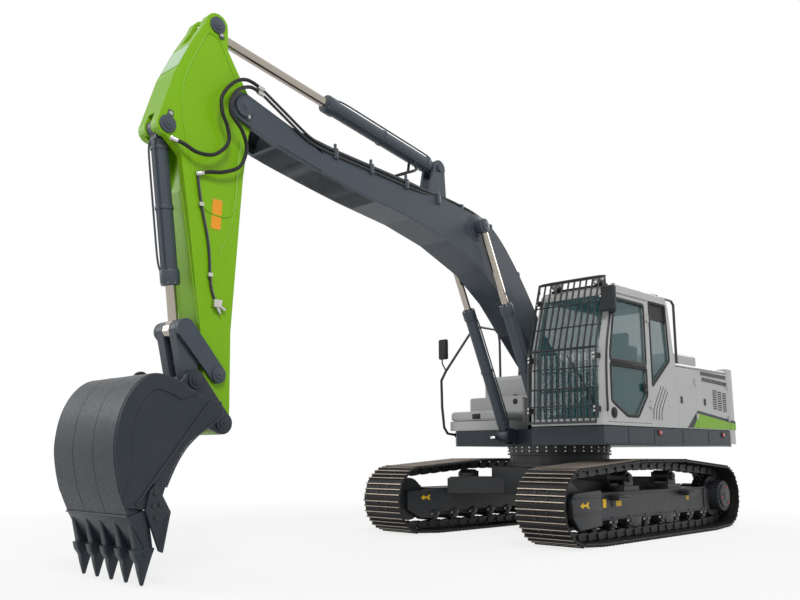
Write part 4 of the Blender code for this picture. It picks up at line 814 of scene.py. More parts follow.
def weld(name, line, x, body, placed, radius=0.005, finish_name="dark_paint"):
    """A thin bead of weld along a line on a side face."""
    return tube(name, [(x, *placed(*p)) for p in line], radius, 6)


beads = []
for side in (-1, 1):
    x = side * (BOOM_HALF - 0.011)
    beads.append(weld("bead", [(4.72, 0.235), (4.60, 0.14), (4.66, 0.03)], x, "boom", on_boom))
    beads.append(weld("bead", [(3.02, 0.92), (2.98, 0.47)], x, "boom", on_boom, 0.006))
    beads.append(weld("bead", [(1.30, 0.74), (1.42, 0.37)], x, "boom", on_boom, 0.006))
    gusset = [(4.93, 0.235), (4.80, 0.225), (4.55, 0.26), (4.62, 0.21), (4.82, 0.20), (5.02, 0.215)]
    beads.append(boom_side("gusset", gusset, x, x + side * 0.012, 0.003))
    rib = [(4.70, 0.055), (5.22, -0.058), (5.23, -0.075), (4.69, 0.036)]
    beads.append(boom_side("rib", rib, side * BOOM_HALF, side * (BOOM_HALF + 0.008), 0.003))
done(painted(joined("boom_seams", beads), "dark_paint"), "boom")
print("boom built")

# %% [markdown]
# A pin is held by a keeper plate with one bolt, so that it can't turn or walk out. The pin's end
# is a disc with a chamfer and a greasing boss. This pair is used at every visible pivot.

# %% Pins and keepers
def pin_end(x, side, y, z, radius=0.085, keeper=None, keep_length=0.13):
    """The end of a pin on a side face, and a keeper plate that leaves it at an angle."""
    out = side
    pieces = [rod("disc", (x - out * 0.004, y, z), (x + out * 0.016, y, z), radius, 32, 0.005),
              rod("boss", (x, y, z), (x + out * 0.026, y, z), radius * 0.62, 28, 0.006),
              rod("cup", (x, y, z), (x + out * 0.032, y, z), radius * 0.22, 12, 0.003)]
    bolts = []
    if keeper is not None:
        t = math.radians(keeper)
        tip = (y + keep_length * math.cos(t), z + keep_length * math.sin(t))
        wide = 0.026
        side_y, side_z = -math.sin(t) * wide, math.cos(t) * wide
        outline = [(y + side_y, z + side_z), (tip[0] + side_y, tip[1] + side_z), (tip[0] - side_y, tip[1] - side_z),
                   (y - side_y, z - side_z)]
        pieces.append(side_plate("keeper", outline, x - out * 0.002, x + out * 0.012, 0.004, 2))
        bolts.append((x + out * 0.012, tip[0] - 0.03 * math.cos(t), tip[1] - 0.03 * math.sin(t)))
    return pieces, bolts


def pin_ends(name, pins, body, finish_name="dark_paint"):
    """Pin ends of one body: (x face, y, z, radius, keeper angle) on the left, mirrored to the right."""
    pieces, places = [], []
    for x, y, z, radius, keeper in pins:
        for side in (-1, 1):
            made, bolts = pin_end(side * x, side, y, z, radius, keeper)
            pieces += made
            places += [(side, b) for b in bolts]
    done(painted(joined(name, pieces), finish_name), body)
    heads = [bolt_head("head", place, (side, 0, 0), 0.014) for side, place in places]
    if heads:
        done(painted(joined(name + "_bolts", heads), "bright_steel"), body)


BOOM_PIN = on_boom(2.441, 0.941)
pin_ends("elbow_pins", [(BOOM_HALF + 0.001, *ELBOW, 0.098, -62)], "boom")
pin_ends("foot_pins", [(0.272, *FOOT, 0.07, 215)], "upper", "navy_paint")
HORN = on_arm(-0.698, 0.316)
LUG = on_arm(0.397, 0.727)
pin_ends("arm_pins", [(0.156, *HORN, 0.078, -64), (0.156, *LUG, 0.078, 78)], "arm")
bosses = []
for side in (-1, 1):
    y, z = BOOM_PIN
    x = side * (BOOM_HALF - 0.012)
    bosses.append(rod("flange", (x, y, z), (x + side * 0.016, y, z), 0.165, 36, 0.006))
    bosses.append(rod("collar", (x, y, z), (x + side * 0.03, y, z), 0.115, 32, 0.008))
done(painted(joined("boom_pin_flanges", bosses), "dark_paint"), "boom")
caps = {"left": 1, "right": -1}
for side_name, side in caps.items():
    y, z = BOOM_PIN
    pieces, _ = pin_end(side * 0.335, side, y, z, 0.062)
    eye = side_plate("eye", arc(y, z, 0.088, 0, 348, 29), side * 0.243, side * 0.337, 0.010, 2)
    done(painted(joined(f"boom_rod_eye_{side_name}", [eye, *pieces]), "dark_paint"), f"boom_rod_{side_name}")
print("pins done")

# %% [markdown]
# The arm is lime green. A shallow pressed panel runs round its horn, and a small amber sign plate is riveted to its
# side. A pale lime strip along the top of the front edge is a painted highlight: the sky's sheen on the paint.

# %% The arm
ARM_HALF = 0.155
ARM_UNDER = [(-0.50, 0.185), (-0.356, 0.084), (-0.16, -0.06), (-0.06, -0.132), (0.10, -0.138), (0.238, -0.10), (0.669, -0.070),
             (2.083, -0.045), (2.723, -0.085)]
panel = [(-0.60, 0.405), (-0.575, 0.30), (-0.50, 0.235), (-0.36, 0.155), (-0.16, 0.02), (-0.05, -0.03), (0.10, -0.045),
         (0.24, -0.02), (0.62, 0.0), (1.05, 0.03), (1.02, 0.36), (0.70, 0.46), (0.40, 0.56), (0.20, 0.60), (-0.02, 0.61),
         (-0.30, 0.53)]
pieces = []
for side in (-1, 1):
    x = side * ARM_HALF
    outer = [on_arm(*p) for p in smoothed(panel + panel[:1], 3)[:-1]]
    ridge = [(x, *p) for p in outer]
    bead = tube("bead", ridge, 0.009, 8, closed=True)
    pieces.append(bead)
    for line in ([(0.95, 0.545), (1.52, 0.40), (2.05, 0.29)], [(0.80, -0.045), (1.30, 0.05), (1.42, 0.14)],
                 [(0.93, -0.06), (1.50, 0.055)]):
        pieces.append(tube("bead", [(x, *on_arm(*p)) for p in line], 0.004, 6))
done(painted(joined("arm_ridges", pieces), "lime_paint"), "arm")
# A thin pale lime strip on the arm's top edge: a painted highlight standing for the sky's sheen on the paint.
sheen_outline = [on_arm(*p) for p in ((-0.41, 0.573), (-0.17, 0.6715), (-0.171, 0.6745), (-0.411, 0.576))]
done(painted(side_plate("arm_painted_sheen_strip", sheen_outline, -0.148, 0.148), "arm_painted_sheen"), "arm")
sign = [on_arm(*p) for p in ((0.93, 0.23), (1.20, 0.23), (1.20, 0.13), (0.93, 0.13))]
plate = side_plate("arm_sign", sign, ARM_HALF + 0.0005, ARM_HALF + 0.003, 0.001, 1)
done(painted(plate, "amber_sign"), "arm")
ends = []
for side in (-1, 1):
    y, z = on_arm(ARM_LENGTH - 0.405, 0.07)
    ends += pin_end(side * 0.190, side, y, z, 0.066)[0]
done(painted(joined("rocker_pins", ends), "dark_paint"), "rocker")
rivets = [(0.94, 0.222), (1.19, 0.222), (0.94, 0.138), (1.19, 0.138)]
bolt_set("sign_rivets", [(ARM_HALF + 0.003, *on_arm(*p)) for p in rivets], (1, 0, 0), 0.004, "bright_steel", "arm")
print("arm dressed")

# %% [markdown]
# The bucket is rolled from one plate, so its back is a smooth curve in which only the seams of
# the three welded plates show. This shell takes the place of the faceted solid. Its side plates
# carry a raised border along the curve and a bar across the corner where the ear loads enter.

# %% The bucket
BUCKET_HALF, BUCKET_WALL = 0.50, 0.03
BACK = [(-0.22, 0.16), (-0.40, 0.20), (-0.62, 0.31), (-0.78, 0.352), (-0.90, 0.325), (-1.01, 0.22), (-1.09, 0.05),
        (-1.122, -0.156), (-1.110, -0.32), (-1.06, -0.52), (-0.98, -0.70)]
MOUTH = [(-0.84, -0.66), (-0.72, -0.60), (-0.69, -0.50), (-0.62, -0.34), (-0.53, -0.20), (-0.40, -0.08),
         (-0.28, 0.0), (-0.20, 0.07)]


def moved_left(line, distance):
    """An open line moved to its left by a distance."""
    made = []
    for k, here in enumerate(line):
        before, after = line[max(k - 1, 0)], line[min(k + 1, len(line) - 1)]
        run = Vector((after[0] - before[0], after[1] - before[1])).normalized()
        made.append((here[0] - run.y * distance, here[1] + run.x * distance))
    return made


def bucket_plate(name, outline, x_low, x_high, edge=0.003, steps=1):
    return side_plate(name, [on_bucket(*p) for p in outline], x_low, x_high, edge, steps)


back = smoothed(BACK, 5)
pieces = [bucket_plate("wrapper", back + moved_left(back, BUCKET_WALL)[::-1], -BUCKET_HALF + 0.012, BUCKET_HALF - 0.012)]
side_line = moved_left(back, 0.004)[2:-2] + smoothed(MOUTH[:2], 1) + smoothed(MOUTH[2:], 3)
border = moved_left(back, 0.006)[6:-4]
inner = moved_left(back, 0.125)[8:-8]
for side in (-1, 1):
    x = side * BUCKET_HALF
    pieces.append(bucket_plate("side", [BACK[0]] + side_line, x - side * BUCKET_WALL, x, 0.004))
    pieces.append(bucket_plate("border", border + inner[::-1], x - side * 0.004, x + side * 0.012, 0.004))
    brace = [(x + side * 0.004, *on_bucket(*p)) for p in ((-0.33, 0.158), (-0.62, -0.225), (-0.925, -0.625))]
    pieces.append(tube("brace_bead", brace, 0.011, 8))
    seam = [(x, *on_bucket(*p)) for p in moved_left(smoothed(MOUTH[2:], 3), -0.006)]
    pieces.append(tube("mouth_bead", seam, 0.007, 6))
for x in (-0.165, 0.165):
    pieces.append(tube("seam", [(x, *on_bucket(*p)) for p in moved_left(back, 0.002)[2:-1]], 0.0045, 6))
pieces.append(tube("lip_bead", [(x, *on_bucket(-0.982, -0.703)) for x in (-0.488, -0.2, 0.2, 0.488)], 0.009, 8))
EAR = arc(0, 0, 0.093, -110, 60, 12) + arc(-0.289, 0.345, 0.093, 30, 170, 10) + [(-0.52, 0.245), (-0.50, 0.215),
                                                                                (-0.34, 0.10), (-0.20, -0.02)]
for side in (-1, 1):
    pieces.append(bucket_plate("ear", EAR, side * 0.1555, side * 0.205, 0.006, 2))
    pieces.append(bucket_plate("ear_foot", [(-0.62, 0.28), (-0.40, 0.17), (-0.30, 0.13), (-0.28, 0.16), (-0.36, 0.30),
                                            (-0.52, 0.36), (-0.60, 0.33)], side * 0.17, side * 0.19, 0.004))
pieces.append(rod("cross_tube", (-0.155, *on_bucket(-0.27, 0.12)), (0.155, *on_bucket(-0.27, 0.12)), 0.05, 24))
eye = smoothed([(-0.60, 0.30), (-0.605, 0.345), (-0.635, 0.385), (-0.680, 0.392), (-0.72, 0.37), (-0.73, 0.33)], 4)
bucket = joined("bucket_body", pieces)
done(painted(bucket, "bucket_paint"), "bucket", stands_for=("bucket_shell",))
hook = tube("lifting_eye", [(0.0, *on_bucket(*p)) for p in eye], 0.013, 10)
done(painted(hook, "bucket_paint"), "bucket")
pin_ends("bucket_pins", [(0.206, *BUCKET_PIN, 0.075, None), (0.206, *on_bucket(-0.289, 0.345), 0.07, None)], "bucket",
         "navy_paint")
print("bucket built")

# %% [markdown]
# The lip is a thick plate with five adapters welded over it. Each adapter carries a forged tooth
# held by a pin, and the tooth narrows to a blunt point. Bolts hold the side cutters.

# %% The lip, the teeth and the side cutters
TOOTH_COUNT = 5
lip = [(-0.980, -0.700), (-0.842, -0.661), (-0.800, -0.93), (-0.826, -0.945), (-0.842, -0.93)]
pieces = [bucket_plate("lip", lip, -BUCKET_HALF + 0.002, BUCKET_HALF - 0.002, 0.006, 2)]
ADAPTER = [(-0.985, -0.63), (-0.900, -0.93), (-0.885, -1.015), (-0.775, -0.985), (-0.765, -0.93), (-0.800, -0.72),
           (-0.845, -0.66)]
TOOTH = [(-0.918, -0.945), (-0.903, -1.00), (-0.872, -1.045), (-0.858, -1.11), (-0.832, -1.20), (-0.812, -1.20),
         (-0.795, -1.11), (-0.772, -1.00), (-0.752, -0.935), (-0.80, -0.925)]
for k in range(TOOTH_COUNT):
    x = (k / (TOOTH_COUNT - 1) - 0.5) * 2 * (BUCKET_HALF - 0.045)
    adapter = bucket_plate("adapter", ADAPTER, x - 0.036, x + 0.036, 0.0)
    for vertex in adapter.data.vertices:  # the adapter is a slim rib at its top
        share = max(0.0, min(1.0, (vertex.co.z - on_bucket(0.0, -0.93)[1]) / 0.27))
        vertex.co.x = x + (vertex.co.x - x) * (1.0 - 0.5 * share)
    pieces.append(broken(adapter, 0.009, 3, 30))
    tooth = bucket_plate("tooth", TOOTH, x - 0.044, x + 0.044, 0.0)
    for vertex in tooth.data.vertices:  # the tooth narrows towards its point
        share = max(0.0, min(1.0, (on_bucket(0.0, -0.965)[1] - vertex.co.z) / 0.235))
        vertex.co.x = x + (vertex.co.x - x) * (1.0 - 0.72 * share)
    pieces.append(broken(tooth, 0.007, 2, 30))
    y, z = on_bucket(-0.835, -0.975)
    pieces.append(rod("tooth_pin", (x - 0.050, y, z), (x + 0.050, y, z), 0.014, 12, 0.003))
edge = joined("lip_and_teeth", pieces)
done(painted(edge, "bucket_paint"), "bucket", stands_for=("bucket_cutting_edge",))
bolts = []
for side in (-1, 1):
    pieces = [bucket_plate("cutter", [(-0.83, -0.52), (-0.78, -0.47), (-0.65, -0.68), (-0.70, -0.975), (-0.735, -0.96),
                                      (-0.86, -0.66)], side * (BUCKET_HALF + 0.001), side * (BUCKET_HALF + 0.029), 0.006, 2)]
    for line in ([(-0.675, -0.70), (-0.712, -0.955)], [(-0.70, -0.72), (-0.735, -0.93)]):
        pieces.append(tube("ridge", [(side * (BUCKET_HALF + 0.028), *on_bucket(*p)) for p in line], 0.006, 6))
    name = "left" if side > 0 else "right"
    done(painted(joined(f"cutter_{name}", pieces), "bucket_paint"), "bucket",
         stands_for=(f"side_cutter_{name}",))
    for p in ((-0.79, -0.54), (-0.745, -0.62), (-0.80, -0.63), (-0.775, -0.72)):
        bolts.append(bolt_head("bolt", (side * (BUCKET_HALF + 0.029), *on_bucket(*p)), (side, 0, 0), 0.017))
done(painted(joined("cutter_bolts", bolts), "black_steel"), "bucket")
print("teeth", TOOTH_COUNT)

# %% [markdown]
# A cylinder's barrel ends in a gland, a thicker collar through which the rod slides. Bolts ring
# its face. Each cylinder hangs between two pins, so its collar and pipes ride on the barrel.

# %% Cylinder glands and pipes
BASES = {"boom": [(SWING - 0.75, 1.20), on_boom(2.441, 0.941)], "arm": [on_boom(3.183, 1.297), HORN],
         "bucket": [LUG, on_arm(ARM_LENGTH - 0.759, 0.413)]}
BARREL = {"boom": 0.070, "arm": 0.085, "bucket": 0.072}
ROD = {"boom": 0.043, "arm": 0.052, "bucket": 0.045}
CYLINDER_AXES = [("boom_barrel_left", "boom", 0.29), ("boom_barrel_right", "boom", -0.29), ("arm_barrel", "arm", 0.0),
                 ("bucket_barrel", "bucket", 0.0)]


def barrel_end(body):
    """The low and high corners of the barrel's solid, as the model has it."""
    low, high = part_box(body.replace("_barrel", "_cylinder_barrel"))
    return Vector(low), Vector(high)


for body, kind, x in CYLINDER_AXES:
    (base_y, base_z), (tip_y, tip_z) = BASES[kind]
    axis = Vector((0.0, tip_y - base_y, tip_z - base_z)).normalized()
    base = Vector((x, base_y, base_z))
    low, high = barrel_end(body)
    far = Vector((x, low.y if axis.y < 0 else high.y, low.z if axis.z < 0 else high.z))
    length = (far - base).dot(axis) - BARREL[kind] * 0.35
    across = Vector((1.0, 0.0, 0.0))
    r = BARREL[kind]
    place = lambda along: base + axis * along
    gland = [rod("gland", place(length - 0.13), place(length - 0.012), r + 0.012, 32, 0.006),
             rod("lip", place(length - 0.014), place(length + 0.006), r - 0.008, 28, 0.004),
             rod("ring", place(0.16), place(0.19), r + 0.006, 28, 0.004),
             rod("ring", place(length * 0.5), place(length * 0.5 + 0.035), r + 0.007, 28, 0.004)]
    lift = Vector((0.0, -axis.z, axis.y))
    if lift.z < 0 or kind == "bucket":
        lift = -lift if kind != "bucket" else Vector((0.0, 1.0, 0.0)) * 0 + Vector((0.0, axis.z, -axis.y))
    for lean in (-0.5, 0.5):
        side_way = (lift * math.cos(lean) + across * math.sin(lean)).normalized()
        out = r + 0.020
        path = [place(0.10) + side_way * (r - 0.01), place(0.13) + side_way * out, place(0.22) + side_way * out,
                place(length - 0.30) + side_way * out, place(length - 0.16) + side_way * out,
                place(length - 0.11) + side_way * (r - 0.004)]
        gland.append(tube("pipe", [tuple(p) for p in path], 0.009, 8))
    done(painted(joined(f"{body}_gland", gland), "dark_paint"), body)
    heads = []
    for k in range(8):
        t = TAU * k / 8
        spot = place(length - 0.012) + (across * math.cos(t) + axis.cross(across) * math.sin(t)) * (r - 0.002)
        heads.append(bolt_head("bolt", tuple(spot), tuple(axis), 0.009))
    done(painted(joined(f"{body}_bolts", heads), "bright_steel"), body)
print("glands done")

# %% [markdown]
# Two rubber hoses cross the joint between boom and arm. They have a real length and a route of their own. Each one is
# swept along a smooth line through its route.

# %% The two hoses
HOSE_RADIUS = 0.017
ARM_HOSES = {
    "arm_hose_bucket": [(0.225, -5.08, 4.31), (0.235, -5.25, 4.34), (0.25, -5.40, 4.27), (0.26, -5.53, 4.10),
                        (0.26, -5.53, 3.95), (0.25, -5.46, 3.82), (0.24, -5.44, 3.68), (0.24, -5.57, 3.54),
                        (0.24, -5.74, 3.51), (0.22, -5.87, 3.56), (0.170, -5.95, 3.60)],
    "arm_hose_auxiliary": [(0.225, -5.08, 4.26), (0.24, -5.22, 4.28), (0.27, -5.38, 4.19), (0.29, -5.46, 4.05),
                           (0.29, -5.45, 3.94), (0.28, -5.32, 3.81), (0.25, -5.25, 3.67), (0.23, -5.30, 3.50),
                           (0.22, -5.46, 3.41), (0.20, -5.60, 3.38), (0.1705, -5.69, 3.35)],
}


def swept(name, line, radius, sides=12):
    """A tube along a line of points: a ring of points round each, turned to face the next."""
    bpy.ops.object.select_all(action="DESELECT")
    curve = bpy.data.curves.new(name, "CURVE")
    curve.dimensions = "3D"
    curve.bevel_depth = radius
    curve.bevel_resolution = sides // 4
    curve.use_fill_caps = True
    spline = curve.splines.new("POLY")
    spline.points.add(len(line) - 1)
    for point, place in zip(spline.points, line):
        point.co = (*place, 1.0)
    piece = bpy.data.objects.new(name, curve)
    bpy.context.scene.collection.objects.link(piece)
    alone(piece)
    bpy.ops.object.convert(target="MESH")
    return piece


def run(line):
    return sum((Vector(b) - Vector(a)).length for a, b in zip(line, line[1:]))


for name, route in ARM_HOSES.items():
    line = smoothed([(x, sw(y), z) for x, y, z in route], 8)
    hose = painted(swept(name + "_rubber", line, HOSE_RADIUS), "rubber")
    alone(hose)
    bpy.ops.object.shade_smooth_by_angle(angle=math.radians(40))
    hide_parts(name)
    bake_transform(hose)
    print(name, "length", round(run(line), 3))

# %% [markdown]
# A hose never meets a pipe bare. A crimped steel sleeve and a hexagon nut join them, and clamps
# hold the pipes to the boom at intervals. The pipes run along the boom's top edge and down the
# arm's side. They are rigid, so each one stays on its member.

# %% Hose fittings
def fitting(name, start, toward, radius=0.021):
    """A crimped sleeve and a hexagon nut, from a place in a direction."""
    start, way = Vector(start), (Vector(toward) - Vector(start)).normalized()
    return [rod(name, start, start + way * 0.055, radius, 20, 0.003),
            rod(name, start - way * 0.018, start + way * 0.004, radius * 1.15, 6, 0.002)]


steel = {"boom": [], "arm": []}
for name, route in ARM_HOSES.items():
    line = [(x, sw(y), z) for x, y, z in route]
    steel["boom"] += fitting("fitting", line[0], line[1])
    steel["arm"] += fitting("fitting", line[-1], line[-2])
for body, made in steel.items():
    done(painted(joined(f"hose_fittings_{body}", made), "bright_steel"), body)


def pipe_run(name, points, radius, body, finish_name="black_steel"):
    return done(painted(tube(name, points, radius, 10), finish_name), body)


BLOCK = (0.158, *on_arm(1.86, 0.12))
feed = [(0.1705, sw(-5.69), 3.335), (0.168, *on_arm(1.02, 0.36)), (0.168, *on_arm(1.30, 0.24)), (0.168, *on_arm(1.62, 0.215)),
        (0.168, *on_arm(1.76, 0.19)), BLOCK]
feed[0] = (0.1705, sw(-5.69), 3.34)
pipe_run("arm_pipe", feed, 0.013, "arm")
valve = [span("valve", (0.154, 0.205), (BLOCK[1] - 0.05, BLOCK[1] + 0.03), (BLOCK[2] - 0.035, BLOCK[2] + 0.035), 0.006),
         rod("plug", (0.18, BLOCK[1] + 0.02, BLOCK[2] - 0.02), (0.18, BLOCK[1] + 0.075, BLOCK[2] - 0.045), 0.016, 6, 0.002),
         rod("plug", (0.18, BLOCK[1], BLOCK[2] - 0.03), (0.18, BLOCK[1] + 0.025, BLOCK[2] - 0.085), 0.014, 6, 0.002)]
done(painted(joined("arm_valve", valve), "bright_steel"), "arm")
clamps = [span("clamp", (0.154, 0.190), (y - 0.022, y + 0.022), (z - 0.018, z + 0.018), 0.005)
          for y, z in (on_arm(1.02, 0.355), on_arm(1.62, 0.215))]
done(painted(joined("arm_clamps", clamps), "bright_steel"), "arm")


def boom_edge(along):
    """How high the boom's top edge is at a place along it."""
    line = sorted(over)
    for (a, high_a), (b, high_b) in zip(line, line[1:]):
        if a <= along <= b:
            return high_a + (high_b - high_a) * (along - a) / (b - a)
    return line[-1][1]


def along_boom(x_top, x_side, drop, stops):
    """A pipe over the boom's crown at x_top, and down its side plate's face farther out."""
    path = []
    for along in stops:
        t = max(0.0, min(1.0, (along - 3.0) / 0.35))
        x = x_top + (x_side - x_top) * t
        path.append((x, *on_boom(along, boom_edge(along) + 0.03 - (0.03 + drop) * t)))
    return path


STOPS = [0.55, 0.9, 1.3, 1.7, 2.05, 2.35, 2.60, 2.90, 3.10, 3.35, 3.9, 4.4, 4.75]
for number, (x_top, x_side, drop, end) in enumerate(((0.178, 0.208, 0.030, 4.31), (0.140, 0.208, 0.075, 4.26))):
    path = along_boom(x_top, x_side, drop, STOPS)
    path += [(0.212, *on_boom(4.98, 0.26 - drop)), (0.222, *on_boom(5.12, 0.275 - drop)), (0.225, sw(-5.08), end)]
    pipe_run(f"boom_pipe_left_{number}", path, 0.0135, "boom")
for number, x in enumerate((0.05, -0.138, -0.176)):
    pipe_run(f"boom_pipe_top_{number}", along_boom(x, x, -0.03, STOPS[:-1]), 0.011, "boom")
clips, heads = [], []
for along in (0.75, 1.5, 2.2, 2.75, 3.15, 3.65, 4.15, 4.62):
    y, z = on_boom(along, boom_edge(along) + 0.02)
    clips.append(span("clip", (-0.196, -0.118), (y - 0.022, y + 0.022), (z - 0.026, z + 0.030), 0.006))
    heads.append((-0.157, y, z + 0.030))
    if along < 3.1:
        clips.append(span("clip", (0.118, 0.200), (y - 0.022, y + 0.022), (z - 0.026, z + 0.030), 0.006))
        heads.append((0.159, y, z + 0.030))
    else:
        y, z = on_boom(along, boom_edge(along) - 0.053)
        clips.append(span("clip", (0.186, 0.226), (y - 0.026, y + 0.026), (z - 0.055, z + 0.055), 0.006))
        clips.append(span("post", (0.186, 0.212), (y - 0.012, y + 0.012), (z - 0.01, z + 0.105), 0.004))
done(painted(joined("boom_pipe_clips", clips), "dark_paint"), "boom")
bolt_set("boom_clip_bolts", heads, (0, -0.3, 1), 0.010, "bright_steel", "boom")

loops = []
for x in (-0.05, 0.05):
    start, end = on_boom(3.55, 0.79), on_boom(3.30, 1.32)
    loops.append(tube("loop", [(x + 0.08, *on_boom(3.75, 0.735)), (x + 0.09, *on_boom(3.70, 0.80)), (x + 0.10, *on_boom(3.60, 0.90)),
                               (x * 1.6 + 0.05, *on_boom(3.50, 1.02)), (x, *on_boom(3.50, 1.08)),
                               (x, *on_boom(3.52, 1.142))], 0.016, 10))
done(painted(joined("arm_cylinder_feeds", loops), "rubber"), "boom")
feet = []
for x in (0.08, 0.15, -0.08, -0.15):
    top = on_boom(0.55, boom_edge(0.55) + 0.032)
    edge_x = math.copysign(0.176 if abs(x) > 0.1 else 0.138, x)
    feet.append(tube("foot_hose", [(edge_x, *on_boom(0.70, boom_edge(0.70) + 0.032)), (edge_x, *top),
                                   (edge_x, *on_boom(0.32, 0.36)), (x, *on_boom(0.12, 0.34)), (x, *on_boom(-0.06, 0.22))], 0.017, 10))
done(painted(joined("foot_hoses", feet), "rubber"), "boom")
print("pipes done")

# %% [markdown]
# The house is sheet metal on a dark frame. Its doors carry louvres, which are slots pressed in a row so that air gets
# in and rain stays out. Each slot is drawn as a thin dark plate on the door: painted shade for the dark inside the
# opening. A lime stripe with a dark wedge runs along its side.

# %% Louvres, stripe and skirt
SIDE = 1.36


def side_piece(name, outline, thickness=0.008, edge=0.003, x=SIDE):
    """A plate on the house's left side, from an outline given from the swing centre."""
    return side_plate(name, [(sw(y), z) for y, z in outline], x, x + thickness, edge, 1)


def slot_row(first, last, count, width, height, lean):
    """Dark slot plates, painted shade for the openings, spread evenly from the first place to the last, each leaning by
    a share of its height.
    """
    made = []
    for k in range(count):
        t = k / (count - 1)
        y, z = (a + (b - a) * t for a, b in zip(first, last))
        outline = [(y - width / 2, z - height / 2), (y + width / 2, z - height / 2),
                   (y + width / 2 + lean, z + height / 2), (y - width / 2 + lean, z + height / 2)]
        made.append(side_piece("slot", outline, 0.004, 0.0))
    return made


# The louvre slots are thin dark plates on the door: painted shade for the dark inside each opening.
louvre_shade_plates = slot_row((1.37, 2.025), (2.13, 2.010), 18, 0.028, 0.052, 0.016)
louvre_shade_plates += slot_row((1.40, 1.948), (2.13, 1.918), 17, 0.028, 0.052, 0.016)
for column in range(3):
    y = 1.76 + column * 0.155
    louvre_shade_plates += slot_row((y, 1.81 - column * 0.012), (y, 1.57 - column * 0.012), 9, 0.115, 0.016, 0.012)
done(painted(joined("engine_louvre_shade_plates", louvre_shade_plates), "black_steel"), "left_engine_door")

grooves = [[(0.02, 1.38), (0.02, 1.50), (0.25, 1.79)], [(0.09, 1.38), (0.09, 1.50), (0.31, 1.78)],
           [(0.16, 1.38), (0.16, 1.50), (0.37, 1.76)], [(0.23, 1.38), (0.23, 1.49), (0.41, 1.72)]]
pressed = [tube("groove", [(SIDE + 0.0005, sw(y), z) for y, z in (a, b, b, c)], 0.008, 6) for a, b, c in grooves]
done(painted(joined("cab_side_pressing", pressed), "grey_paint"), "upper")
# Dark copies of the grooves, moved down and forward, are painted shadows under the pressed ridges.
shadow = [tube("groove", [(SIDE - 0.0035, sw(y - 0.014), z - 0.004) for y, z in (a, b, b, c)], 0.008, 6) for a, b, c in grooves]
done(painted(joined("cab_side_groove_shadows", shadow), "navy_paint"), "upper")


def striped(name, outline, finish_name, thickness):
    """A painted stripe, cut where one door ends and the next begins."""
    for body, low, high in (("left_air_door", 0.60, 1.1985), ("left_engine_door", 1.2065, 2.192), ("upper", 2.202, 2.40)):
        piece = side_piece(f"{name}_{body}", outline, thickness, 0.0)
        alone(piece)
        bpy.ops.object.mode_set(mode="EDIT")
        for y, keep in ((low, "inner"), (high, "outer")):
            bpy.ops.mesh.select_all(action="SELECT")
            bpy.ops.mesh.bisect(plane_co=(0, sw(y), 0), plane_no=(0, 1, 0), use_fill=True,
                                clear_inner=keep == "inner", clear_outer=keep == "outer")
        bpy.ops.object.mode_set(mode="OBJECT")
        done(painted(piece, finish_name), body)


striped("stripe_dark", [(0.90, 1.296), (1.22, 1.525), (2.40, 1.415), (2.40, 1.296)], "navy_paint", 0.0020)
striped("stripe_lime", [(1.07, 1.297), (1.245, 1.485), (2.40, 1.378), (2.40, 1.297)], "lime_paint", 0.0032)

latches = [side_piece("latch", [(y, z), (y + 0.055, z), (y + 0.055, z + 0.09), (y, z + 0.09)], 0.010, 0.004)
           for y, z in ((1.42, 1.60),)]
done(painted(joined("engine_latch", latches), "black_steel"), "left_engine_door")
latch = side_piece("air_latch", [(0.74, 1.60), (0.795, 1.60), (0.795, 1.69), (0.74, 1.69)], 0.010, 0.004)
done(painted(latch, "black_steel"), "left_air_door")

skirt = [span("lamp_base", (SIDE, SIDE + 0.010), (sw(0.085), sw(0.18)), (1.185, 1.255), 0.005),
         span("lamp_base", (SIDE, SIDE + 0.010), (sw(1.90), sw(1.99)), (1.185, 1.255), 0.005)]
done(painted(joined("skirt_lamp_bases", skirt), "trim"), "upper")
lamps = [span("lamp", (SIDE + 0.010, SIDE + 0.018), (sw(0.10), sw(0.165)), (1.20, 1.24), 0.006),
         span("lamp", (SIDE + 0.010, SIDE + 0.018), (sw(1.915), sw(1.975)), (1.20, 1.24), 0.006)]
done(painted(joined("skirt_lamps", lamps), "lamp_red"), "upper")
seams = [span("seam", (SIDE, SIDE + 0.004), (sw(y), sw(y + 0.008)), (1.075, 1.265), 0.001, 1) for y in (-0.62, 0.0, 0.75, 1.5)]
seams.append(span("rail", (SIDE, SIDE + 0.012), (sw(-1.12), sw(2.19)), (1.062, 1.085), 0.004))
done(painted(joined("skirt_seams", seams), "navy_paint"), "upper")
print("side dressed")

# %% [markdown]
# The cab's glass sits in black rubber. Each opening gets a flat frame that laps onto the paint, and the door gets its
# handle and its catch.

# %% Rubber frames round the glass
DOOR_UPPER = [(-0.96, 2.03), (-0.12, 2.03), (-0.12, 2.76), (-0.80, 2.76), (-0.95, 2.15)]
DOOR_LOWER = [(-0.62, 1.40), (-0.36, 1.40), (-0.12, 1.66), (-0.12, 1.98), (-0.96, 1.98), (-0.96, 1.56)]
QUARTER = [(0.02, 1.78), (0.02, 2.82), (0.44, 2.82), (0.49, 2.12)]


def frame_round(name, outline, x, width=0.020, thickness=0.006):
    """A closed flat strip round an opening: a tube along it, flattened against the wall."""
    centre = [sum(c) / len(outline) for c in zip(*outline)]
    corners = [Vector((sw(y), z)) for y, z in outline]
    path = []
    for before, here, after in zip(corners[-1:] + corners[:-1], corners, corners[1:] + corners[:1]):
        path.append(here + (before - here).normalized() * 0.05)
        path.append(here + (before - here).normalized() * 0.012)
        path.append(here + (after - here).normalized() * 0.012)
        path.append(here + (after - here).normalized() * 0.05)
    strip = tube(name, [(0.0, *p) for p in path], width, 10, closed=True)
    for vertex in strip.data.vertices:
        vertex.co.x = x + vertex.co.x / width * thickness
    return strip


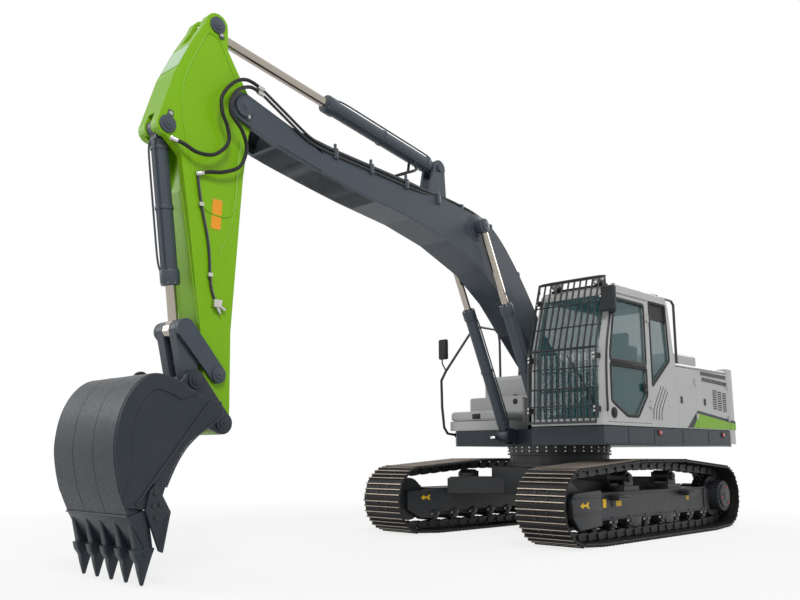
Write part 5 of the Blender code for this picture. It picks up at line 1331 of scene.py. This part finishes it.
door_frames = [frame_round("frame", DOOR_UPPER, SIDE + 0.001), frame_round("frame", DOOR_LOWER, SIDE + 0.001)]
door_frames.append(span("bar", (SIDE, SIDE + 0.010), (sw(-0.955), sw(-0.125)), (1.985, 2.025), 0.004))
done(painted(joined("door_rubber", door_frames), "rubber"), "cab_door")
quarter = frame_round("quarter_rubber", QUARTER, SIDE + 0.001)
visor = side_plate("band", [(sw(0.03), 2.60), (sw(0.452), 2.60), (sw(0.437), 2.815), (sw(0.03), 2.815)], SIDE - 0.019, SIDE - 0.012, 0.0)
done(painted(joined("quarter_rubber", [quarter, visor]), "rubber"), "upper")
handle = [span("plate", (SIDE, SIDE + 0.010), (sw(-0.22), sw(-0.13)), (1.70, 1.80), 0.006),
          tube("grip", [(SIDE + 0.004, sw(-0.20), 1.72), (SIDE + 0.03, sw(-0.19), 1.735), (SIDE + 0.03, sw(-0.17), 1.775),
                        (SIDE + 0.004, sw(-0.16), 1.79)], 0.008, 8)]
done(painted(joined("door_handle", handle), "trim"), "cab_door")
vent_y, vent_z = sw(-0.925), 1.425
vent = [rod("ring", (SIDE, vent_y, vent_z), (SIDE + 0.012, vent_y, vent_z), 0.062, 32, 0.004),
        rod("core", (SIDE + 0.010, vent_y, vent_z), (SIDE + 0.020, vent_y, vent_z), 0.042, 28, 0.005)]
done(painted(joined("door_vent", vent), "rubber"), "cab_door")
round_keys = [rod("lock", (SIDE, sw(0.444), 1.567), (SIDE + 0.008, sw(0.444), 1.567), 0.020, 20, 0.003),
              rod("lock", (SIDE, sw(0.56), 2.02), (SIDE + 0.008, sw(0.56), 2.02), 0.014, 20, 0.003)]
done(painted(joined("cab_locks", round_keys), "bright_steel"), "upper")
seal = frame_round("door_seal", [(-1.068, 1.325), (-0.052, 1.325), (-0.052, 2.815), (-0.858, 2.815), (-1.018, 2.15)], SIDE - 0.006,
                   0.0045, 0.004)
done(painted(seal, "rubber"), "upper")
print("glass framed")

# %% [markdown]
# The roof has four lifting eyes, a raised edge and a hatch. A rail for a hand runs up outside the
# front pillar, and the work lamps have a lens and a guard ring.

# %% Roof and rails
eyes = []
for y in (-0.568, 0.40):
    for x in (0.52, 1.22):
        eyes.append(tube("eye", [(x + 0.028 * math.cos(TAU * k / 12), sw(y), 2.960 + 0.028 * math.sin(TAU * k / 12)) for k in range(12)],
                         0.008, 8, closed=True))
        eyes.append(rod("stem", (x, sw(y), 2.915), (x, sw(y), 2.938), 0.020, 16, 0.003))
done(painted(joined("roof_eyes", eyes), "bright_steel"), "upper")
roof = [span("cap", (0.42, 1.335), (sw(-0.74), sw(0.42)), (2.915, 2.938), 0.010, 3),
        span("hatch", (0.62, 1.14), (sw(-0.45), sw(0.10)), (2.935, 2.955), 0.008, 2)]
done(painted(joined("roof_cap", roof), "grey_paint"), "upper")
gutter = [side_plate("gutter", [(sw(-0.85), 2.83), (sw(0.46), 2.83), (sw(0.46), 2.842), (sw(-0.85), 2.842)], SIDE, SIDE + 0.010, 0.003, 1)]
done(painted(joined("gutter", gutter), "grey_paint"), "upper")
lens = []
for x in (0.595, 1.16):
    lens.append(rod("lens", (x, sw(-0.868), 2.99), (x, sw(-0.855), 2.99), 0.045, 28, 0.004))
done(painted(joined("roof_lamp_lenses", lens), "lamp_lens"), "upper")
rings = [rod("bezel", (x, sw(-0.862), 2.99), (x, sw(-0.80), 2.99), 0.056, 28, 0.004, 0.040) for x in (0.595, 1.16)]
done(painted(joined("roof_lamp_cups", rings), "trim"), "upper")

grab = tube("grab_rail", [(1.375, sw(-1.09), 1.44), (1.398, sw(-1.115), 1.47), (1.398, sw(-1.13), 1.56), (1.398, sw(-1.12), 1.85),
                          (1.398, sw(-1.105), 2.10), (1.398, sw(-1.06), 2.30), (1.398, sw(-0.99), 2.52), (1.398, sw(-0.955), 2.62),
                          (1.398, sw(-0.945), 2.67), (1.372, sw(-0.925), 2.69)], 0.013, 12)
done(painted(grab, "black_steel"), "upper")
print("roof and rails done")

# %% [markdown]
# The guard in front of the windscreen is a comb of upright bars tied by a few level rods. The
# rods are welded across the bars' faces and their ends bend back to the cab's posts.

# %% The guard's rods and bolts
def cab_front(z, out=0.0):
    """The cab front's place along Y at a height, out in front of it."""
    low, bend, high = (-1.16, 1.285), (-1.11, 2.15), (-0.88, 2.86)
    a, b = (low, bend) if z < bend[1] else (bend, high)
    return sw(a[0] + (b[0] - a[0]) * (z - a[1]) / (b[1] - a[1]) - out)


rods_made = []
for z in (1.50, 1.70, 1.93, 2.155, 2.42, 2.70):
    y = cab_front(z, 0.112)
    rods_made.append(tube("rod", [(0.405, y + 0.05, z), (0.412, y + 0.010, z), (0.43, y, z), (0.60, y, z), (1.15, y, z),
                                  (1.315, y, z), (1.332, y + 0.010, z), (1.338, y + 0.05, z)], 0.008, 8))
bar_pitch = (1.33 - 0.40 - 0.02) / 11
for k in range(12):
    x = 0.40 + 0.02 + k * bar_pitch
    x = min(max(x, 0.412), 1.322)
    rods_made.append(tube("bar", [(x, cab_front(z, 0.098), z) for z in (1.31, 1.6, 1.9, 2.15)]
                          + [(x, cab_front(z, 0.098), z) for z in (2.4, 2.7, 3.0)], 0.0095, 8))
top_y = cab_front(3.0, 0.10)
rods_made.append(tube("hoop", [(0.410, top_y, 2.90), (0.410, top_y, 2.97), (0.416, top_y + 0.002, 3.005), (0.45, top_y + 0.004, 3.018),
                               (0.80, top_y + 0.004, 3.018), (1.29, top_y + 0.004, 3.018), (1.318, top_y + 0.002, 3.005),
                               (1.324, top_y, 2.97), (1.324, top_y, 2.90)], 0.013, 10))
done(painted(joined("guard_bars", rods_made), "black_steel"), "upper")
nodes["cab_guard"].data.materials[0] = FINISH["black_steel"]
places = []
for z in (1.46, 2.06, 2.78):
    for x in (0.425, 1.31):
        for lift in (-0.022, 0.022):
            places.append((x, cab_front(z + lift, 0.112), z + lift))
bolt_set("guard_bolts", places, (0, -1, 0), 0.010, "bright_steel", "upper")
print("guard done")

# %% [markdown]
# The right front corner holds a tool box, a filler step and the tanks. Each has small hardware: a
# sunk latch, a round cap, a lamp in the skirt and a whip mast. The mirrors have rounded backs.

# %% Front corner and mirrors
front = sw(-0.59)
latch = [span("plate", (-0.97, -0.83), (front - 0.006, front + 0.004), (1.425, 1.495), 0.008),
         span("paddle", (-0.945, -0.855), (front - 0.012, front), (1.440, 1.480), 0.006)]
done(painted(joined("tool_latch", latch), "trim"), "tool_box_lid")
corner = [rod("cap", (-0.56, sw(-0.165), 1.665), (-0.56, sw(-0.174), 1.665), 0.040, 24, 0.003),
          span("lamp_box", (-0.66, -0.56), (sw(-0.612), sw(-0.598)), (1.15, 1.20), 0.005),
          span("lamp_box", (-0.53, -0.49), (sw(-0.612), sw(-0.598)), (1.15, 1.20), 0.005),
          rod("mast_foot", (-0.90, sw(0.42), 2.058), (-0.90, sw(0.42), 2.075), 0.050, 20, 0.004)]
done(painted(joined("front_corner_hardware", corner), "trim"), "upper")
mast = [rod("mast", (-0.90, sw(0.42), 2.07), (-0.90, sw(0.42), 2.56), 0.024, 16, 0.0, 0.007)]
done(painted(joined("mast", mast), "navy_paint"), "upper")
lens = [span("lens", (-0.65, -0.57), (sw(-0.618), sw(-0.611)), (1.158, 1.192), 0.003)]
done(painted(joined("corner_lamp_lens", lens), "lamp_lens"), "upper")
plate_y = cab_front(2.58) + 0.05
shell = span("shell", (SIDE - 0.015, SIDE + 0.168), (plate_y - 0.178, plate_y - 0.125), (2.560, 2.860), 0.024, 4)
mirror = [shell, ball("joint", (1.455, plate_y - 0.11, 2.70), 0.026),
          tube("stalk", [(1.372, plate_y, 2.56), (1.40, plate_y - 0.01, 2.565), (1.455, plate_y - 0.03, 2.57),
                         (1.46, plate_y - 0.08, 2.60), (1.455, plate_y - 0.10, 2.66), (1.455, plate_y - 0.115, 2.70)], 0.012, 10),
          rod("clamp", (1.3615, plate_y, 2.58), (1.392, plate_y, 2.58), 0.026, 20, 0.005)]
done(painted(joined("left_mirror_shell", mirror), "trim"), "upper")
right = -1.385
shell = span("shell", (right - 0.044, right + 0.104), (sw(-0.756), sw(-0.698)), (2.250, 2.530), 0.022, 4)
done(painted(joined("right_mirror_shell", [shell]), "trim"), "upper")
seam = [span("seam", (-1.355, -0.43), (front - 0.004, front), (1.300, 1.308), 0.001, 1)]
done(painted(joined("tool_box_seam", seam), "grey_paint"), "upper")
print("corner done")

# %% [markdown]
# A cab is lined inside: a mat on the floor, a padded rear wall and a dark roof lining. The lining
# keeps the view through the glass as deep as it is on a real machine. The screens of the dash and
# the wiper lie close behind the windscreen.

# %% Cab lining
inside_x = (0.447, 1.300)
lining = [span("mat", inside_x, (sw(-1.08), sw(0.58)), (1.337, 1.347), 0.003),
          span("rear", inside_x, (sw(0.575), sw(0.592)), (1.36, 1.98), 0.006),
          span("roof", inside_x, (sw(-0.78), sw(0.40)), (2.840, 2.866), 0.010),
          span("right", (0.447, 0.462), (sw(-1.0), sw(0.56)), (1.350, 1.440), 0.004),
          span("dash", (0.52, 0.70), (sw(-0.93), sw(-0.80)), (1.56, 1.74), 0.015, 3),
          tube("column", [(0.61, sw(-0.86), 1.35), (0.61, sw(-0.86), 1.45), (0.61, sw(-0.865), 1.57)], 0.03, 12),
          span("pedals", (0.80, 0.98), (sw(-0.98), sw(-0.86)), (1.36, 1.40), 0.008)]
for x in (0.83, 0.95):
    lining.append(tube("lever", [(x, sw(-0.92), 1.39), (x, sw(-0.91), 1.55), (x, sw(-0.87), 1.68), (x, sw(-0.84), 1.74)], 0.010, 10))
    lining.append(ball("knob", (x, sw(-0.838), 1.755), 0.022))
done(painted(joined("cab_lining", lining), "trim"), "upper")
wiper = [tube("wiper", [(1.25, cab_front(1.50, -0.002), 1.50), (1.15, cab_front(1.70, 0.004), 1.70), (0.98, cab_front(1.95, 0.006), 1.95),
                        (0.88, cab_front(2.10, 0.006), 2.10)], 0.006, 8)]
done(painted(joined("wiper", wiper), "rubber"), "upper")
print("cab lined")
